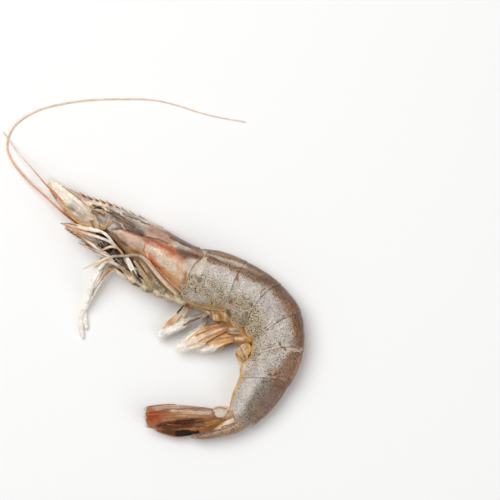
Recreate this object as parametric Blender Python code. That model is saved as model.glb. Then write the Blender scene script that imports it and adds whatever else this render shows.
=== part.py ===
"""A raw whiteleg prawn, head on and shell on, lying on its right side.

The head points to -X, the back faces +Y and -X to +X along the curl, and the left flank faces +Z.
Lengths in this file are millimetres until a mesh is made, and Blender's metres after that.
The origin is the middle of the footprint, on the surface that the prawn lies on.
"""

import math

import bmesh
import bpy
from mathutils import Vector

MM = 0.001

# Driving dimensions of the body
REAR_RIM = 0.35  # how far a ring's rear edge stands out over the next ring
RING_OVERLAP = 0.30  # stations by which a ring starts inside the one before it
PLEURA_DROP = 0.9  # how far the middle of a side plate hangs below its ends
SECTION_POWER = 2.3  # superellipse power of the body's cross-section
HEAD_LIFT = 7.0  # height of the head's middle plane above the table, at the carapace's rear
HEAD_SLOPE = 0.12  # how much that height falls at each station towards the front
REST_SHARE = 0.93  # the middle plane's height over the half-width, so the flank is cut a little flat
CARAPACE_RIM = 0.3  # how far the carapace's rear edge stands out
THORAX_WIDTH_SHARE = 0.78  # the limbs' mass is this much of the body's width
THORAX_TOP_SHARE = 0.25  # and starts this far down from the back

# The body is cut at 19 stations. 0 to 6 are the head, and each of the six abdomen rings takes two.
BACK = [
    (-17.3, 22.0), (-12.4, 21.3), (-6.5, 18.8), (-1.2, 16.4), (4.4, 13.4), (10.7, 9.8), (15.9, 7.2),
    (23.6, 5.6), (32.7, 2.6), (39.0, -1.0), (44.6, -5.4), (49.0, -10.3), (51.8, -15.6),
    (52.8, -22.2), (52.5, -29.1), (50.8, -35.0), (47.5, -41.0), (41.8, -49.0), (33.8, -56.0),
]
BELLY = [
    (-19.4, 13.3), (-16.6, 10.2), (-13.5, 5.6), (-10.3, 0.4), (-5.8, -4.6), (0.5, -8.8), (8.6, -11.6),
    (17.3, -13.6), (25.7, -15.6), (29.2, -18.5), (31.7, -20.6), (33.4, -22.8), (34.5, -25.2),
    (34.5, -28.0), (33.4, -31.2), (31.6, -34.7), (30.3, -38.5), (28.2, -43.4), (26.6, -49.5),
]
WIDTH = [
    6.4, 9.4, 12.0, 13.8, 14.8, 15.2, 15.0,
    14.8, 14.4, 14.2, 14.0, 13.6, 13.2,
    12.6, 12.0, 11.2, 10.4, 9.2, 7.4,
]
# Lower margin of the carapace at stations 0 to 6
CARAPACE_EDGE = [
    (-19.4, 13.3), (-16.3, 11.3), (-12.1, 7.6), (-7.5, 4.6), (-2.6, 1.6), (3.3, -3.4), (10.2, -8.0),
]
CARAPACE_SPAN = (0.5, 6.1)
THORAX_SPAN = (0.2, 6.8)
RING_STATIONS = [6, 8, 10, 12, 14, 16, 18]

# Rostrum: the toothed blade along the middle of the head
CREST = [(3.3, 14.2), (-7.2, 18.8), (-15.9, 22.6), (-23.0, 24.8), (-30.4, 28.2)]
CREST_TEETH = 8
CREST_TOOTH_PITCH = 3.05
CREST_FIRST_TOOTH = 5.6
CREST_TOOTH_HEIGHT = 0.75
CREST_DEPTH = 2.9
CREST_THICKNESS = 1.0

# Head pieces, as (x, y, height above the middle plane)
EYE_RADIUS = 1.7
EYE = (-19.6, 20.2, 3.4)
EYE_STALK_ROOT = (-15.6, 18.6, 1.6)
ANTENNA_BASE = [(-16.2, 17.0, 3.0), (-18.8, 16.9, 3.6), (-21.6, 17.0, 3.6)]
ANTENNA_BASE_RADII = [2.6, 3.1, 2.2]
JAWS = (-16.2, 7.8, -0.2)
JAWS_RADII = (5.2, 4.4, 4.6)
ANTENNULE = [(-15.6, 19.4, 1.5), (-20.8, 22.4, 1.9), (-26.0, 25.2, 2.0), (-31.0, 28.0, 1.6)]
ANTENNULE_RADII = [1.3, 1.2, 0.9, 0.35]
SCALE_PATH = [(-19.8, 16.0, 4.5), (-23.2, 17.9, 4.6), (-26.9, 21.6, 4.3), (-32.0, 26.7, 3.6),
              (-35.8, 31.0, 3.0)]
SCALE_WIDTHS = [5.2, 6.6, 6.4, 4.0, 1.2]
RIGHT_SCALE_SHIFT = (-0.7, -1.5)
SCALE_THICKNESS = 0.8

# Limbs of the left side: joints (x, y, height above the table) and radii
LEFT_LIMBS = {
    "maxilliped": (
        [(-8.2, 1.5, 9.6), (-13.9, 9.3, 11.0), (-17.7, 12.9, 11.0), (-25.0, 14.4, 10.4), (-32.7, 16.1, 9.4)],
        [1.1, 0.9, 0.75, 1.0, 0.35],
    ),
    "leg_1": (
        [(-2.5, -6.6, 9.2), (-9.5, -2.9, 9.4), (-15.0, -0.3, 8.8), (-19.0, -5.2, 6.4), (-23.4, -12.4, 3.2),
         (-25.5, -17.5, 1.4), (-25.0, -24.5, 0.7)],
        [1.2, 1.1, 0.8, 0.75, 0.75, 0.75, 0.55],
    ),
    "leg_2": (
        [(1.0, -7.4, 10.2), (-8.5, -1.4, 10.6), (-15.8, 2.6, 10.2), (-20.2, -2.5, 8.4), (-22.1, -7.2, 6.4),
         (-23.4, -11.8, 5.0)],
        [1.2, 1.0, 0.75, 0.9, 1.0, 0.5],
    ),
    "leg_3": (
        [(4.0, -8.2, 10.8), (-3.0, -2.4, 11.6), (-9.4, 3.9, 11.4), (-14.6, 7.6, 11.2), (-19.8, 5.4, 9.8)],
        [1.3, 1.1, 0.95, 0.6, 0.3],
    ),
    "leg_4": (
        [(6.4, -9.4, 11.0), (-2.0, -2.6, 12.0), (-10.6, 2.4, 11.6), (-18.6, 5.2, 10.4), (-26.4, 9.4, 8.8)],
        [1.3, 1.1, 0.9, 0.95, 0.3],
    ),
    "leg_5": (
        [(9.2, -9.6, 11.4), (2.3, -2.6, 12.8), (-3.8, 4.3, 13.0), (-10.0, 4.5, 12.2), (-15.9, 3.9, 11.2),
         (-25.0, -0.2, 8.6)],
        [1.3, 1.1, 0.85, 0.65, 0.6, 0.3],
    ),
}
# The right limbs follow the left ones, with the tips moved by (x, y) and lying on the table,
# and the middle sagging by a third value
RIGHT_LIMB_SHIFT = {
    "maxilliped": (1.6, -2.0, 2.4),
    "leg_1": (1.4, 3.2, 0.0),
    "leg_2": (2.4, 3.0, 0.0),
    "leg_3": (0.4, -2.6, 0.0),
    "leg_4": (2.4, -0.6, 0.0),
    "leg_5": (3.4, 0.8, 0.0),
}
LIMB_LOWEST = 0.9

# Swimmerets: station of the root, middle and tip as (x, y, height above the table), widest width
SWIMMERET_THICKNESS = 1.0
SWIMMERET_ROOT_DEPTH = 3.2
SWIMMERET_ROOT_SIDE = 2.4
SWIMMERETS = {
    "left": [
        (6.6, (6.8, -17.0, 5.6), (1.6, -23.6, 3.4), 3.4),
        (8.0, (12.4, -17.6, 7.6), (3.6, -23.0, 5.4), 3.4),
        (9.6, (18.0, -21.0, 7.0), (8.4, -27.6, 4.4), 5.4),
        (11.0, (22.4, -24.6, 6.2), (13.0, -28.6, 3.0), 5.0),
        (12.6, (29.6, -27.6, 8.2), (30.6, -32.4, 8.6), 3.6),
    ],
    "right": [
        (6.7, (9.4, -15.4, 3.2), (4.8, -20.8, 1.2), 3.2),
        (8.1, (17.2, -18.4, 3.4), (12.0, -22.8, 1.4), 3.4),
        (9.7, (22.4, -22.6, 3.2), (15.6, -27.4, 1.2), 4.0),
        (11.1, (25.6, -25.8, 3.0), (18.8, -29.6, 1.0), 3.8),
        (12.7, (29.2, -28.8, 3.2), (30.8, -33.4, 2.4), 3.0),
    ],
}

# Tail fan: middle lines as (x, y, height above the table)
TELSON = [(31.6, -53.8, 4.2), (25.6, -56.8, 4.4), (19.0, -58.2, 4.4), (12.8, -59.1, 4.2)]
TELSON_WIDTHS = [5.8, 5.2, 3.8, 0.8]
TELSON_DEPTHS = [4.2, 3.6, 2.6, 0.6]
FAN_ROOTS = {"left": (28.6, -50.8, 5.8), "right": (28.2, -50.4, 2.8)}
FAN_ROOT_ENDS = {"left": (21.4, -50.6, 7.0), "right": (21.0, -50.0, 2.2)}
FAN_THICKNESS = 0.9
FAN_BLADES = {
    "left_outer": ([(23.6, -51.2, 6.7), (16.0, -52.0, 7.0), (6.0, -52.9, 6.8), (-2.2, -52.6, 6.0)],
                   [3.0, 5.2, 6.4, 3.4], (0.0, -0.45, 0.89)),
    "left_inner": ([(26.2, -52.4, 5.8), (18.0, -55.4, 5.9), (8.6, -56.8, 5.6), (0.8, -55.2, 5.0)],
                   [2.8, 4.2, 5.2, 2.2], (0.0, -0.65, 0.76)),
    "right_inner": ([(25.8, -52.0, 3.0), (18.0, -55.0, 2.6), (8.6, -56.4, 2.2), (1.2, -54.6, 1.8)],
                    [2.8, 4.2, 5.0, 2.2], (0.0, 0.55, 0.83)),
    "right_outer": ([(23.2, -50.4, 2.4), (16.0, -50.2, 1.8), (6.0, -49.8, 1.3), (-2.8, -49.8, 1.1)],
                    [3.0, 5.0, 6.2, 3.4], (0.0, 0.25, 0.97)),
}

# The slab below the table that cuts the prawn flat where it rests
TABLE_CUTTER = (200, 200, 20)

# Antennae: middle lines as (x, y, height above the table)
ANTENNA_RADIUS = 0.45
ANTENNA_TIP_SHARE = 0.4
ANTENNA_POINTS = 52
ANTENNAE = {
    "antenna_left": [
        (-23.6, 15.4, 12.6), (-27.6, 17.2, 12.6), (-31.4, 21.6, 12.3), (-34.9, 26.4, 11.0),
        (-38.2, 30.4, 9.4), (-43.2, 36.0, 6.4), (-47.4, 40.6, 3.8), (-50.9, 45.4, 1.6), (-53.0, 48.2, 0.6),
    ],
    "antenna_right": [
        (-23.6, 13.6, 8.0), (-27.4, 16.4, 7.6), (-32.7, 20.6, 6.4), (-38.0, 25.5, 4.8), (-43.2, 30.1, 3.0),
        (-48.5, 36.0, 1.4), (-51.2, 40.8, 0.7), (-51.4, 45.0, 0.5), (-49.9, 49.0, 0.5), (-46.7, 52.4, 0.5),
        (-39.7, 56.2, 0.5), (-29.2, 58.6, 0.5), (-20.5, 59.5, 0.5), (-11.7, 59.7, 0.5), (-1.2, 59.5, 0.5),
        (7.5, 57.7, 0.5), (16.3, 54.9, 0.5), (23.3, 53.2, 0.5), (32.4, 51.6, 0.5),
    ],
}


def along(rows, station):
    """The row at a fractional station, on a smooth curve through the rows."""
    last = len(rows) - 1
    station = min(max(station, 0.0), float(last))
    i = min(int(station), last - 1)
    t = station - i
    values = []
    for p0, p1, p2, p3 in zip(rows[max(i - 1, 0)], rows[i], rows[i + 1], rows[min(i + 2, last)]):
        curve = 2 * p1 + (p2 - p0) * t + (2 * p0 - 5 * p1 + 4 * p2 - p3) * t**2
        values.append(0.5 * (curve + (3 * p1 - p0 - 3 * p2 + p3) * t**3))
    return values


def resample(rows, count):
    """The rows read again at evenly spaced stations."""
    last = len(rows) - 1
    return [along(rows, last * i / (count - 1)) for i in range(count)]


def spread(span, count):
    """Evenly spaced stations over a span, each with its share of the way."""
    start, end = span
    return [(i / (count - 1), start + (end - start) * i / (count - 1)) for i in range(count)]


def circle(count):
    """The cosine and sine of evenly spaced angles."""
    return [(math.cos(2 * math.pi * i / count), math.sin(2 * math.pi * i / count)) for i in range(count)]


def width_at(station):
    return along([(w,) for w in WIDTH], station)[0]


def signed_power(value, power):
    return math.copysign(abs(value) ** power, value)


def lift_at(station):
    """Height of the body's middle plane: level along the head, sinking with the narrowing abdomen."""
    rest = REST_SHARE * width_at(station) / 2
    head = HEAD_LIFT - HEAD_SLOPE * (RING_STATIONS[0] - station)
    blend = min(max((station - RING_STATIONS[0] + 1) / 2, 0.0), 1.0)
    return head * (1 - blend) + rest * blend


def add_mesh(name, rings, material):
    """A closed mesh that joins rings of equal count in order, with both ends closed."""
    mesh = bmesh.new()
    loops = [[mesh.verts.new(Vector(p) * MM) for p in ring] for ring in rings]
    count = len(rings[0])
    for first, second in zip(loops, loops[1:]):
        for i in range(count):
            j = (i + 1) % count
            mesh.faces.new((first[i], first[j], second[j], second[i]))
    mesh.faces.new(loops[0])
    mesh.faces.new(loops[-1])
    bmesh.ops.recalc_face_normals(mesh, faces=mesh.faces)
    bmesh.ops.triangulate(mesh, faces=mesh.faces)
    return add_object(name, mesh, material)


def add_object(name, mesh, material):
    data = bpy.data.meshes.new(name)
    mesh.to_mesh(data)
    mesh.free()
    data.materials.append(material)
    made = bpy.data.objects.new(name, data)
    PIECES.objects.link(made)
    return made


def body_ring(back, belly, width, lift, grow=0.0, around=22, low_share=1.0):
    """A cross-section between a point on the back and one on the belly."""
    up = Vector((back[0] - belly[0], back[1] - belly[1], 0.0))
    half = up.length / 2 + grow
    up.normalize()
    middle = Vector(((back[0] + belly[0]) / 2, (back[1] + belly[1]) / 2, lift))
    ring = []
    for rise, side in circle(around):
        rise = signed_power(rise, 2 / SECTION_POWER)
        side = signed_power(side, 2 / SECTION_POWER)
        if rise < 0:
            side *= 1 + (low_share - 1) * rise**2
        ring.append(middle + up * rise * half + Vector((0, 0, side * (width / 2 + grow))))
    return ring


def add_carapace(material):
    """The head's shell, and under it the narrower mass that the limbs grow from."""
    rings = []
    for share, station in spread(CARAPACE_SPAN, 14):
        rings.append(body_ring(along(BACK, station), along(CARAPACE_EDGE, station), width_at(station),
                               lift_at(station), grow=CARAPACE_RIM * share, low_share=1.1))
    add_mesh("carapace", rings, material)
    rings = []
    for _, station in spread(THORAX_SPAN, 10):
        belly = Vector(along(BELLY, station))
        top = Vector(along(BACK, station)).lerp(belly, THORAX_TOP_SHARE)
        width = width_at(station) * THORAX_WIDTH_SHARE
        rings.append(body_ring(top, belly, width, lift_at(station), around=16))
    add_mesh("thorax", rings, material)


def add_abdomen(material):
    """Six rings, each starting inside the one before it and ending in a raised rim."""
    for ring_number, (start, end) in enumerate(zip(RING_STATIONS, RING_STATIONS[1:]), 1):
        rings = []
        for share, station in spread((start - RING_OVERLAP, end), 6):
            back = Vector(along(BACK, station))
            belly = Vector(along(BELLY, station))
            drop = PLEURA_DROP * math.sin(math.pi * share) * (0.5 if ring_number == 6 else 1.0)
            belly += (belly - back).normalized() * drop
            rings.append(body_ring(back, belly, width_at(station), lift_at(station),
                                   grow=REAR_RIM * (2 * share - 1), low_share=0.8))
        add_mesh(f"ring_{ring_number}", rings, material)


def frames_along(points):
    """Each point with the direction of the path there."""
    points = [Vector(p) for p in points]
    found = []
    for i, point in enumerate(points):
        ahead = points[min(i + 1, len(points) - 1)]
        behind = points[max(i - 1, 0)]
        found.append((point, (ahead - behind).normalized()))
    return found


def add_blade(name, path, widths, thickness, facing, material, count=9, around=8):
    """A leaf with a rounded tip: a flat ellipse carried along a path, its face turned to `facing`."""
    rows = resample([(*p, w) for p, w in zip(path, widths)], count)
    rings = []
    for (centre, direction), row in zip(frames_along([r[:3] for r in rows]), rows):
        across = Vector(facing).cross(direction).normalized()
        normal = direction.cross(across).normalized()
        half = row[3] / 2
        thick = min(thickness / 2, half)
        rings.append([centre + across * half * c + normal * thick * s for c, s in circle(around)])
    return add_mesh(name, rings, material)


def add_limb(name, path, radii, material, per_joint=3, around=6):
    """A jointed round limb: a circle carried along a path."""
    rows = resample([(*p, r) for p, r in zip(path, radii)], per_joint * (len(path) - 1) + 1)
    rings = []
    for (centre, direction), row in zip(frames_along([r[:3] for r in rows]), rows):
        across = Vector((0, 0, 1)).cross(direction).normalized()
        normal = direction.cross(across).normalized()
        rings.append([centre + (across * c + normal * s) * row[3] for c, s in circle(around)])
    return add_mesh(name, rings, material)


def add_rostrum(material):
    """The crest: a flat outline with teeth that point forwards, given its thickness across the head."""
    crest = resample(CREST, 40)
    lengths = [0.0]
    for a, b in zip(crest, crest[1:]):
        lengths.append(lengths[-1] + math.dist(a, b))
    top = []
    under = []
    for (x, y), length in zip(crest, lengths):
        phase = (length - CREST_FIRST_TOOTH) / CREST_TOOTH_PITCH
        toothed = 0 <= phase < CREST_TEETH
        tooth = CREST_TOOTH_HEIGHT * (phase % 1.0) if toothed else 0.0
        share = length / lengths[-1]
        depth = CREST_DEPTH * (1 - share) ** 0.7 + 0.25
        top.append((x + 0.35 * tooth, y + tooth))
        under.append((x - 0.3 * depth, y - depth))
    outline = top + under[::-1]
    lift = lift_at(0)
    rings = [[(x, y, lift + side * CREST_THICKNESS / 2) for x, y in outline] for side in (-1, 1)]
    add_mesh("rostrum", rings, material)


def add_ball(name, centre, radii, material, segments=12):
    """A ball or an egg shape."""
    mesh = bmesh.new()
    bmesh.ops.create_uvsphere(mesh, u_segments=segments, v_segments=segments // 2 + 1, radius=1.0)
    bmesh.ops.scale(mesh, vec=Vector(radii) * MM, verts=mesh.verts)
    bmesh.ops.translate(mesh, vec=Vector(centre) * MM, verts=mesh.verts)
    bmesh.ops.triangulate(mesh, faces=mesh.faces)
    return add_object(name, mesh, material)


def add_head_pieces(material):
    """Jaws, eyes on stalks, the antennae's thick bases, the leaf-shaped scales and the antennules."""
    x, y, out = JAWS
    add_ball("jaws", (x, y, lift_at(1) + out), JAWS_RADII, material)
    for side_name, side in (("left", 1), ("right", -1)):
        lift = lift_at(0)

        def placed(points):
            return [(x, y, lift + side * out) for x, y, out in points]

        eye, stalk_root = placed([EYE, EYE_STALK_ROOT])
        add_ball(f"eye_{side_name}", eye, (EYE_RADIUS,) * 3, material)
        add_limb(f"eye_stalk_{side_name}", [stalk_root, eye], [1.0, 0.9], material)
        add_limb(f"antenna_base_{side_name}", placed(ANTENNA_BASE), ANTENNA_BASE_RADII, material,
                 around=10)
        add_limb(f"antennule_{side_name}", placed(ANTENNULE), ANTENNULE_RADII, material)
        shift = (0.0, 0.0) if side > 0 else RIGHT_SCALE_SHIFT
        path = [(x + shift[0], y + shift[1], z) for x, y, z in placed(SCALE_PATH)]
        add_blade(f"scale_{side_name}", path, SCALE_WIDTHS, SCALE_THICKNESS, (0.15, -0.25 * side, 1),
                  material)


def add_limbs(material):
    """Jaw feet and five pairs of walking legs, folded forwards under the head."""
    for name, (path, radii) in LEFT_LIMBS.items():
        add_limb(f"{name}_left", path, radii, material)
        dx, dy, sag = RIGHT_LIMB_SHIFT[name]
        root_height = 2 * lift_at(3) - path[0][2]
        drooping = []
        for i, (x, y, _) in enumerate(path):
            share = i / (len(path) - 1)
            height = root_height + (LIMB_LOWEST - root_height) * share
            drop = sag * math.sin(math.pi * share)
            drooping.append((x + dx * share, y + dy * share - drop, height))
        add_limb(f"{name}_right", drooping, radii, material)


def add_swimmerets(material):
    """Five pairs of swimming legs under the abdomen, each a leaf rooted inside the body."""
    for side_name, rows in SWIMMERETS.items():
        side = 1 if side_name == "left" else -1
        for number, (station, middle, tip, width) in enumerate(rows, 1):
            back = Vector(along(BACK, station))
            belly = Vector(along(BELLY, station))
            root = belly + (back - belly).normalized() * SWIMMERET_ROOT_DEPTH
            path = [(*root, lift_at(station) + side * SWIMMERET_ROOT_SIDE), middle, tip]
            add_blade(f"swimmeret_{number}_{side_name}", path, [width * 0.7, width, width * 0.3],
                      SWIMMERET_THICKNESS, (0.3, 0.2, 1), material, count=7)


def add_tail_fan(material):
    """The telson, and on each side a stub that carries two blades."""
    rows = [(*p, w, d) for p, w, d in zip(TELSON, TELSON_WIDTHS, TELSON_DEPTHS)]
    rings = []
    rows = resample(rows, 8)
    for (centre, direction), row in zip(frames_along([r[:3] for r in rows]), rows):
        side = Vector((0, 0, 1))
        up = side.cross(direction).normalized()
        rings.append([centre + up * row[4] / 2 * c + side * row[3] / 2 * s for c, s in circle(10)])
    add_mesh("telson", rings, material)
    for side_name in FAN_ROOTS:
        add_limb(f"fan_root_{side_name}", [FAN_ROOTS[side_name], FAN_ROOT_ENDS[side_name]], [2.0, 1.6],
                 material, around=8)
    for name, (path, widths, facing) in FAN_BLADES.items():
        add_blade(f"fan_{name}", path, widths, FAN_THICKNESS, facing, material, count=9, around=8)


def add_antenna(name, path, material):
    """A whip that thins towards its tip."""
    rows = resample(path, ANTENNA_POINTS)
    curve = bpy.data.curves.new(name, "CURVE")
    curve.dimensions = "3D"
    curve.bevel_depth = ANTENNA_RADIUS * MM
    curve.bevel_resolution = 1
    curve.use_fill_caps = True
    spline = curve.splines.new("POLY")
    spline.points.add(len(rows) - 1)
    for i, (point, row) in enumerate(zip(spline.points, rows)):
        share = i / (len(rows) - 1)
        point.co = (*(Vector(row) * MM), 1.0)
        point.radius = 1 - (1 - ANTENNA_TIP_SHARE) * share
    solid_from_curve(name, curve, material)


def solid_from_curve(name, curve, material):
    """The curve as a mesh, with the caps at its ends welded on."""
    route = bpy.data.objects.new("route", curve)
    PRAWN.objects.link(route)
    graph = bpy.context.evaluated_depsgraph_get()
    mesh = bmesh.new()
    mesh.from_mesh(bpy.data.meshes.new_from_object(route.evaluated_get(graph)))
    bmesh.ops.remove_doubles(mesh, verts=mesh.verts, dist=0.00001)
    bmesh.ops.recalc_face_normals(mesh, faces=mesh.faces)
    bpy.data.objects.remove(route)
    antenna = add_object(name, mesh, material)
    PIECES.objects.unlink(antenna)
    PRAWN.objects.link(antenna)


def join_pieces(name, material):
    """One solid from all the pieces, cut level where it lies on the table."""
    mesh = bmesh.new()
    bmesh.ops.create_cube(mesh, size=1.0)
    bmesh.ops.scale(mesh, vec=Vector(TABLE_CUTTER) * MM, verts=mesh.verts)
    bmesh.ops.translate(mesh, vec=Vector((0, 0, -TABLE_CUTTER[2] / 2)) * MM, verts=mesh.verts)
    table = add_object("table_cutter", mesh, material)
    PIECES.objects.unlink(table)
    CUTTERS.objects.link(table)
    table.display_type = "WIRE"
    table.hide_render = True

    first = PIECES.objects["carapace"]
    PIECES.objects.unlink(first)
    PRAWN.objects.link(first)
    union = first.modifiers.new("join", "BOOLEAN")
    union.operation = "UNION"
    union.operand_type = "COLLECTION"
    union.collection = PIECES
    union.solver = "MANIFOLD"
    cut = first.modifiers.new("lie_flat", "BOOLEAN")
    cut.operation = "DIFFERENCE"
    cut.object = table
    cut.solver = "MANIFOLD"

    graph = bpy.context.evaluated_depsgraph_get()
    joined = bpy.data.meshes.new_from_object(first.evaluated_get(graph))
    for piece in [first, table, *PIECES.objects]:
        bpy.data.objects.remove(piece)
    joined.materials.clear()
    joined.materials.append(material)
    made = bpy.data.objects.new(name, joined)
    PRAWN.objects.link(made)
    return made


def add_material(name, colour, roughness):
    material = bpy.data.materials.new(name)
    material.use_nodes = True
    shader = material.node_tree.nodes["Principled BSDF"]
    shader.inputs["Base Color"].default_value = (*colour, 1.0)
    shader.inputs["Roughness"].default_value = roughness
    shader.inputs["Metallic"].default_value = 0.0
    return material


def add_collection(name):
    made = bpy.data.collections.new(name)
    bpy.context.scene.collection.children.link(made)
    return made


for old in list(bpy.data.objects):
    bpy.data.objects.remove(old)
PRAWN = add_collection("raw_prawn")
PIECES = add_collection("pieces")
CUTTERS = add_collection("cutters")

shell = add_material("shell", (0.46, 0.40, 0.34), 0.35)
whip = add_material("whip", (0.62, 0.27, 0.12), 0.4)
add_carapace(shell)
add_abdomen(shell)
add_rostrum(shell)
add_head_pieces(shell)
add_limbs(shell)
add_swimmerets(shell)
add_tail_fan(shell)
join_pieces("prawn", shell)
for antenna, route in ANTENNAE.items():
    add_antenna(antenna, route, whip)
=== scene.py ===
"""The looks of a whole raw prawn, curled, that lies on its right flank with its left flank up.

Shapes are worked out in millimetres and become metres in the meshes. Places that were read from the
photograph are in its pixels, PIXEL millimetres each, and are named for what they mark.
"""

import math

import bmesh
import bpy
import numpy as np
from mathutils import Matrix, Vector


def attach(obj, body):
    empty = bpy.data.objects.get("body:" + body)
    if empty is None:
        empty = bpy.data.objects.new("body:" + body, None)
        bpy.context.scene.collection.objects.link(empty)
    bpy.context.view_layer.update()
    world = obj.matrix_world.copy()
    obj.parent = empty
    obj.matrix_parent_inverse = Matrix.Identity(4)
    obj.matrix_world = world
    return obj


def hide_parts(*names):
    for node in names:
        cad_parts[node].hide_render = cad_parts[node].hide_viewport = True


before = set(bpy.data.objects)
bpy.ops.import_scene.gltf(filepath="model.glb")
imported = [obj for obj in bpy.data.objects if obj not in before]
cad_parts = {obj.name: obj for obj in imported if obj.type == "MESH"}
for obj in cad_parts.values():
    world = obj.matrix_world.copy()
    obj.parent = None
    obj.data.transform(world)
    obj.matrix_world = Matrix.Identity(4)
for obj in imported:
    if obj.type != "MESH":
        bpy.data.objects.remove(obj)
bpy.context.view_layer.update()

MM = 0.001
PIXEL = 0.35  # millimetres on the prawn for each pixel of the photograph
PIXEL_ORIGIN = (153.5, 269.0)  # the pixel that the frame's origin falls on
WELD = 1e-6
UP = np.array([0.0, 0.0, 1.0])
FULL_TURN = 2 * math.pi
SIDES = {"left": 1, "right": -1}  # the left flank is up
NOISE = np.random.default_rng(7)

# Stations along the body: 0 to 6 are the head, and each of the six abdomen rings takes two
BACK = [
    (-17.3, 22.0), (-12.4, 21.3), (-6.5, 18.8), (-1.2, 16.4), (4.4, 13.4), (10.7, 9.8), (15.9, 7.4),
    (23.8, 6.2), (32.7, 2.6), (39.0, -1.0), (44.6, -5.4), (49.0, -10.3), (51.8, -15.6),
    (52.8, -22.2), (52.5, -29.1), (50.8, -35.0), (47.5, -41.0), (41.8, -49.0), (33.8, -56.0),
]
BELLY = [
    (-19.4, 13.3), (-16.6, 10.2), (-13.5, 5.6), (-10.3, 0.4), (-5.8, -4.6), (0.5, -8.8), (8.6, -11.6),
    (17.3, -13.6), (25.7, -15.6), (29.2, -18.5), (31.7, -20.6), (33.4, -22.8), (34.5, -25.2),
    (34.5, -28.0), (33.4, -31.2), (31.6, -34.7), (30.3, -38.5), (28.2, -43.4), (26.6, -49.5),
]
WIDTH = [
    6.4, 9.4, 12.0, 13.8, 14.8, 15.2, 15.0,
    14.8, 14.4, 14.2, 14.0, 13.6, 13.2,
    12.6, 12.0, 11.2, 10.4, 9.2, 7.4,
]
CARAPACE_EDGE = [
    (-18.6, 14.0), (-15.2, 12.0), (-11.4, 8.2), (-7.4, 5.0), (-2.2, 2.6), (3.6, -3.4), (9.8, -9.4),
]
RING_STATIONS = [6, 8, 10, 12, 14, 16, 18]
SECTION_POWER = 2.3
HEAD_LIFT = 7.0
HEAD_SLOPE = 0.12
REST_SHARE = 0.93
FLOOR_SOFTNESS = 0.4


def rows_at(rows, station):
    """The rows read at fractional stations, on a smooth curve through them."""
    rows = np.asarray(rows, float)
    rows = rows[:, None] if rows.ndim == 1 else rows
    last = len(rows) - 1
    station = np.clip(np.atleast_1d(np.asarray(station, float)), 0, last)
    i = np.minimum(station.astype(int), last - 1)
    t = (station - i)[:, None]
    p0, p1, p2, p3 = rows[np.maximum(i - 1, 0)], rows[i], rows[i + 1], rows[np.minimum(i + 2, last)]
    curve = 2 * p1 + (p2 - p0) * t + (2 * p0 - 5 * p1 + 4 * p2 - p3) * t**2
    return 0.5 * (curve + (3 * p1 - p0 - 3 * p2 + p3) * t**3)


def from_pixels(spots):
    """Photograph pixels as millimetres in the frame."""
    return PIXEL * (np.asarray(spots, float) - PIXEL_ORIGIN) * (1, -1)


def spots_at(places):
    """Places given as photograph pixels and a height in millimetres, as points."""
    places = np.asarray(places, float)
    return np.column_stack([from_pixels(places[:, :2]), places[:, 2]])


def to_pixels(points):
    """Points in the frame as photograph pixels."""
    return np.asarray(points, float)[:, :2] * (1, -1) / PIXEL + PIXEL_ORIGIN


def lift_at(station):
    """Height of the body's middle plane over the floor."""
    station = np.atleast_1d(np.asarray(station, float))
    rest = REST_SHARE * rows_at(WIDTH, station)[:, 0] / 2
    head = HEAD_LIFT - HEAD_SLOPE * (RING_STATIONS[0] - station)
    blend = np.clip((station - RING_STATIONS[0] + 1) / 2, 0, 1)
    return head * (1 - blend) + rest * blend


def rested(height):
    """Heights kept over the floor, with a soft turn where the flank lies flat on it."""
    return 0.5 * (height + np.sqrt(height**2 + FLOOR_SOFTNESS**2))


def smooth(value, low, high):
    """0 below low, 1 above high, and a soft step between."""
    t = np.clip((np.asarray(value, float) - low) / (high - low), 0, 1)
    return t * t * (3 - 2 * t)


def hump(value, middle, width):
    """1 at the middle, falling softly to 0 on both sides."""
    return np.exp(-(((np.asarray(value, float) - middle) / width) ** 2))


WAVES = 6


def ripple(points, size, seed=0):
    """Smooth unevenness between -1 and 1 over the plane, with waves about `size` across."""
    draw = np.random.default_rng(100 + seed)
    total = np.zeros(len(points))
    for _ in range(WAVES):
        angle = draw.uniform(0, FULL_TURN)
        stretch = draw.uniform(0.7, 1.6)
        shift = draw.uniform(0, FULL_TURN)
        run = points[:, 0] * math.cos(angle) + points[:, 1] * math.sin(angle)
        total += np.sin(run * FULL_TURN / (size * stretch) + shift)
    return total / WAVES


def wander(spots):
    """Small sideways shifts that make painted edges uneven."""
    wide = np.stack([ripple(spots, 12, 1), ripple(spots, 12, 2)], axis=1)
    return 1.6 * wide + 1.1 * np.stack([ripple(spots, 4.5, 3), ripple(spots, 4.5, 4)], axis=1)


def line_mask(spots, line, width, blur):
    """1 within half the width of a line, falling to 0 over the blur."""
    line = np.asarray(line, float)
    nearest = np.full(len(spots), 1e9)
    ends = zip(line, line[1:]) if len(line) > 1 else [(line[0], line[0] + 1e-6)]
    for a, b in ends:
        run = b - a
        t = np.clip(((spots - a) @ run) / (run @ run), 0, 1)
        nearest = np.minimum(nearest, np.linalg.norm(spots - (a + t[:, None] * run), axis=1))
    return 1 - smooth(nearest, width / 2 - blur / 2, width / 2 + blur / 2)


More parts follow.
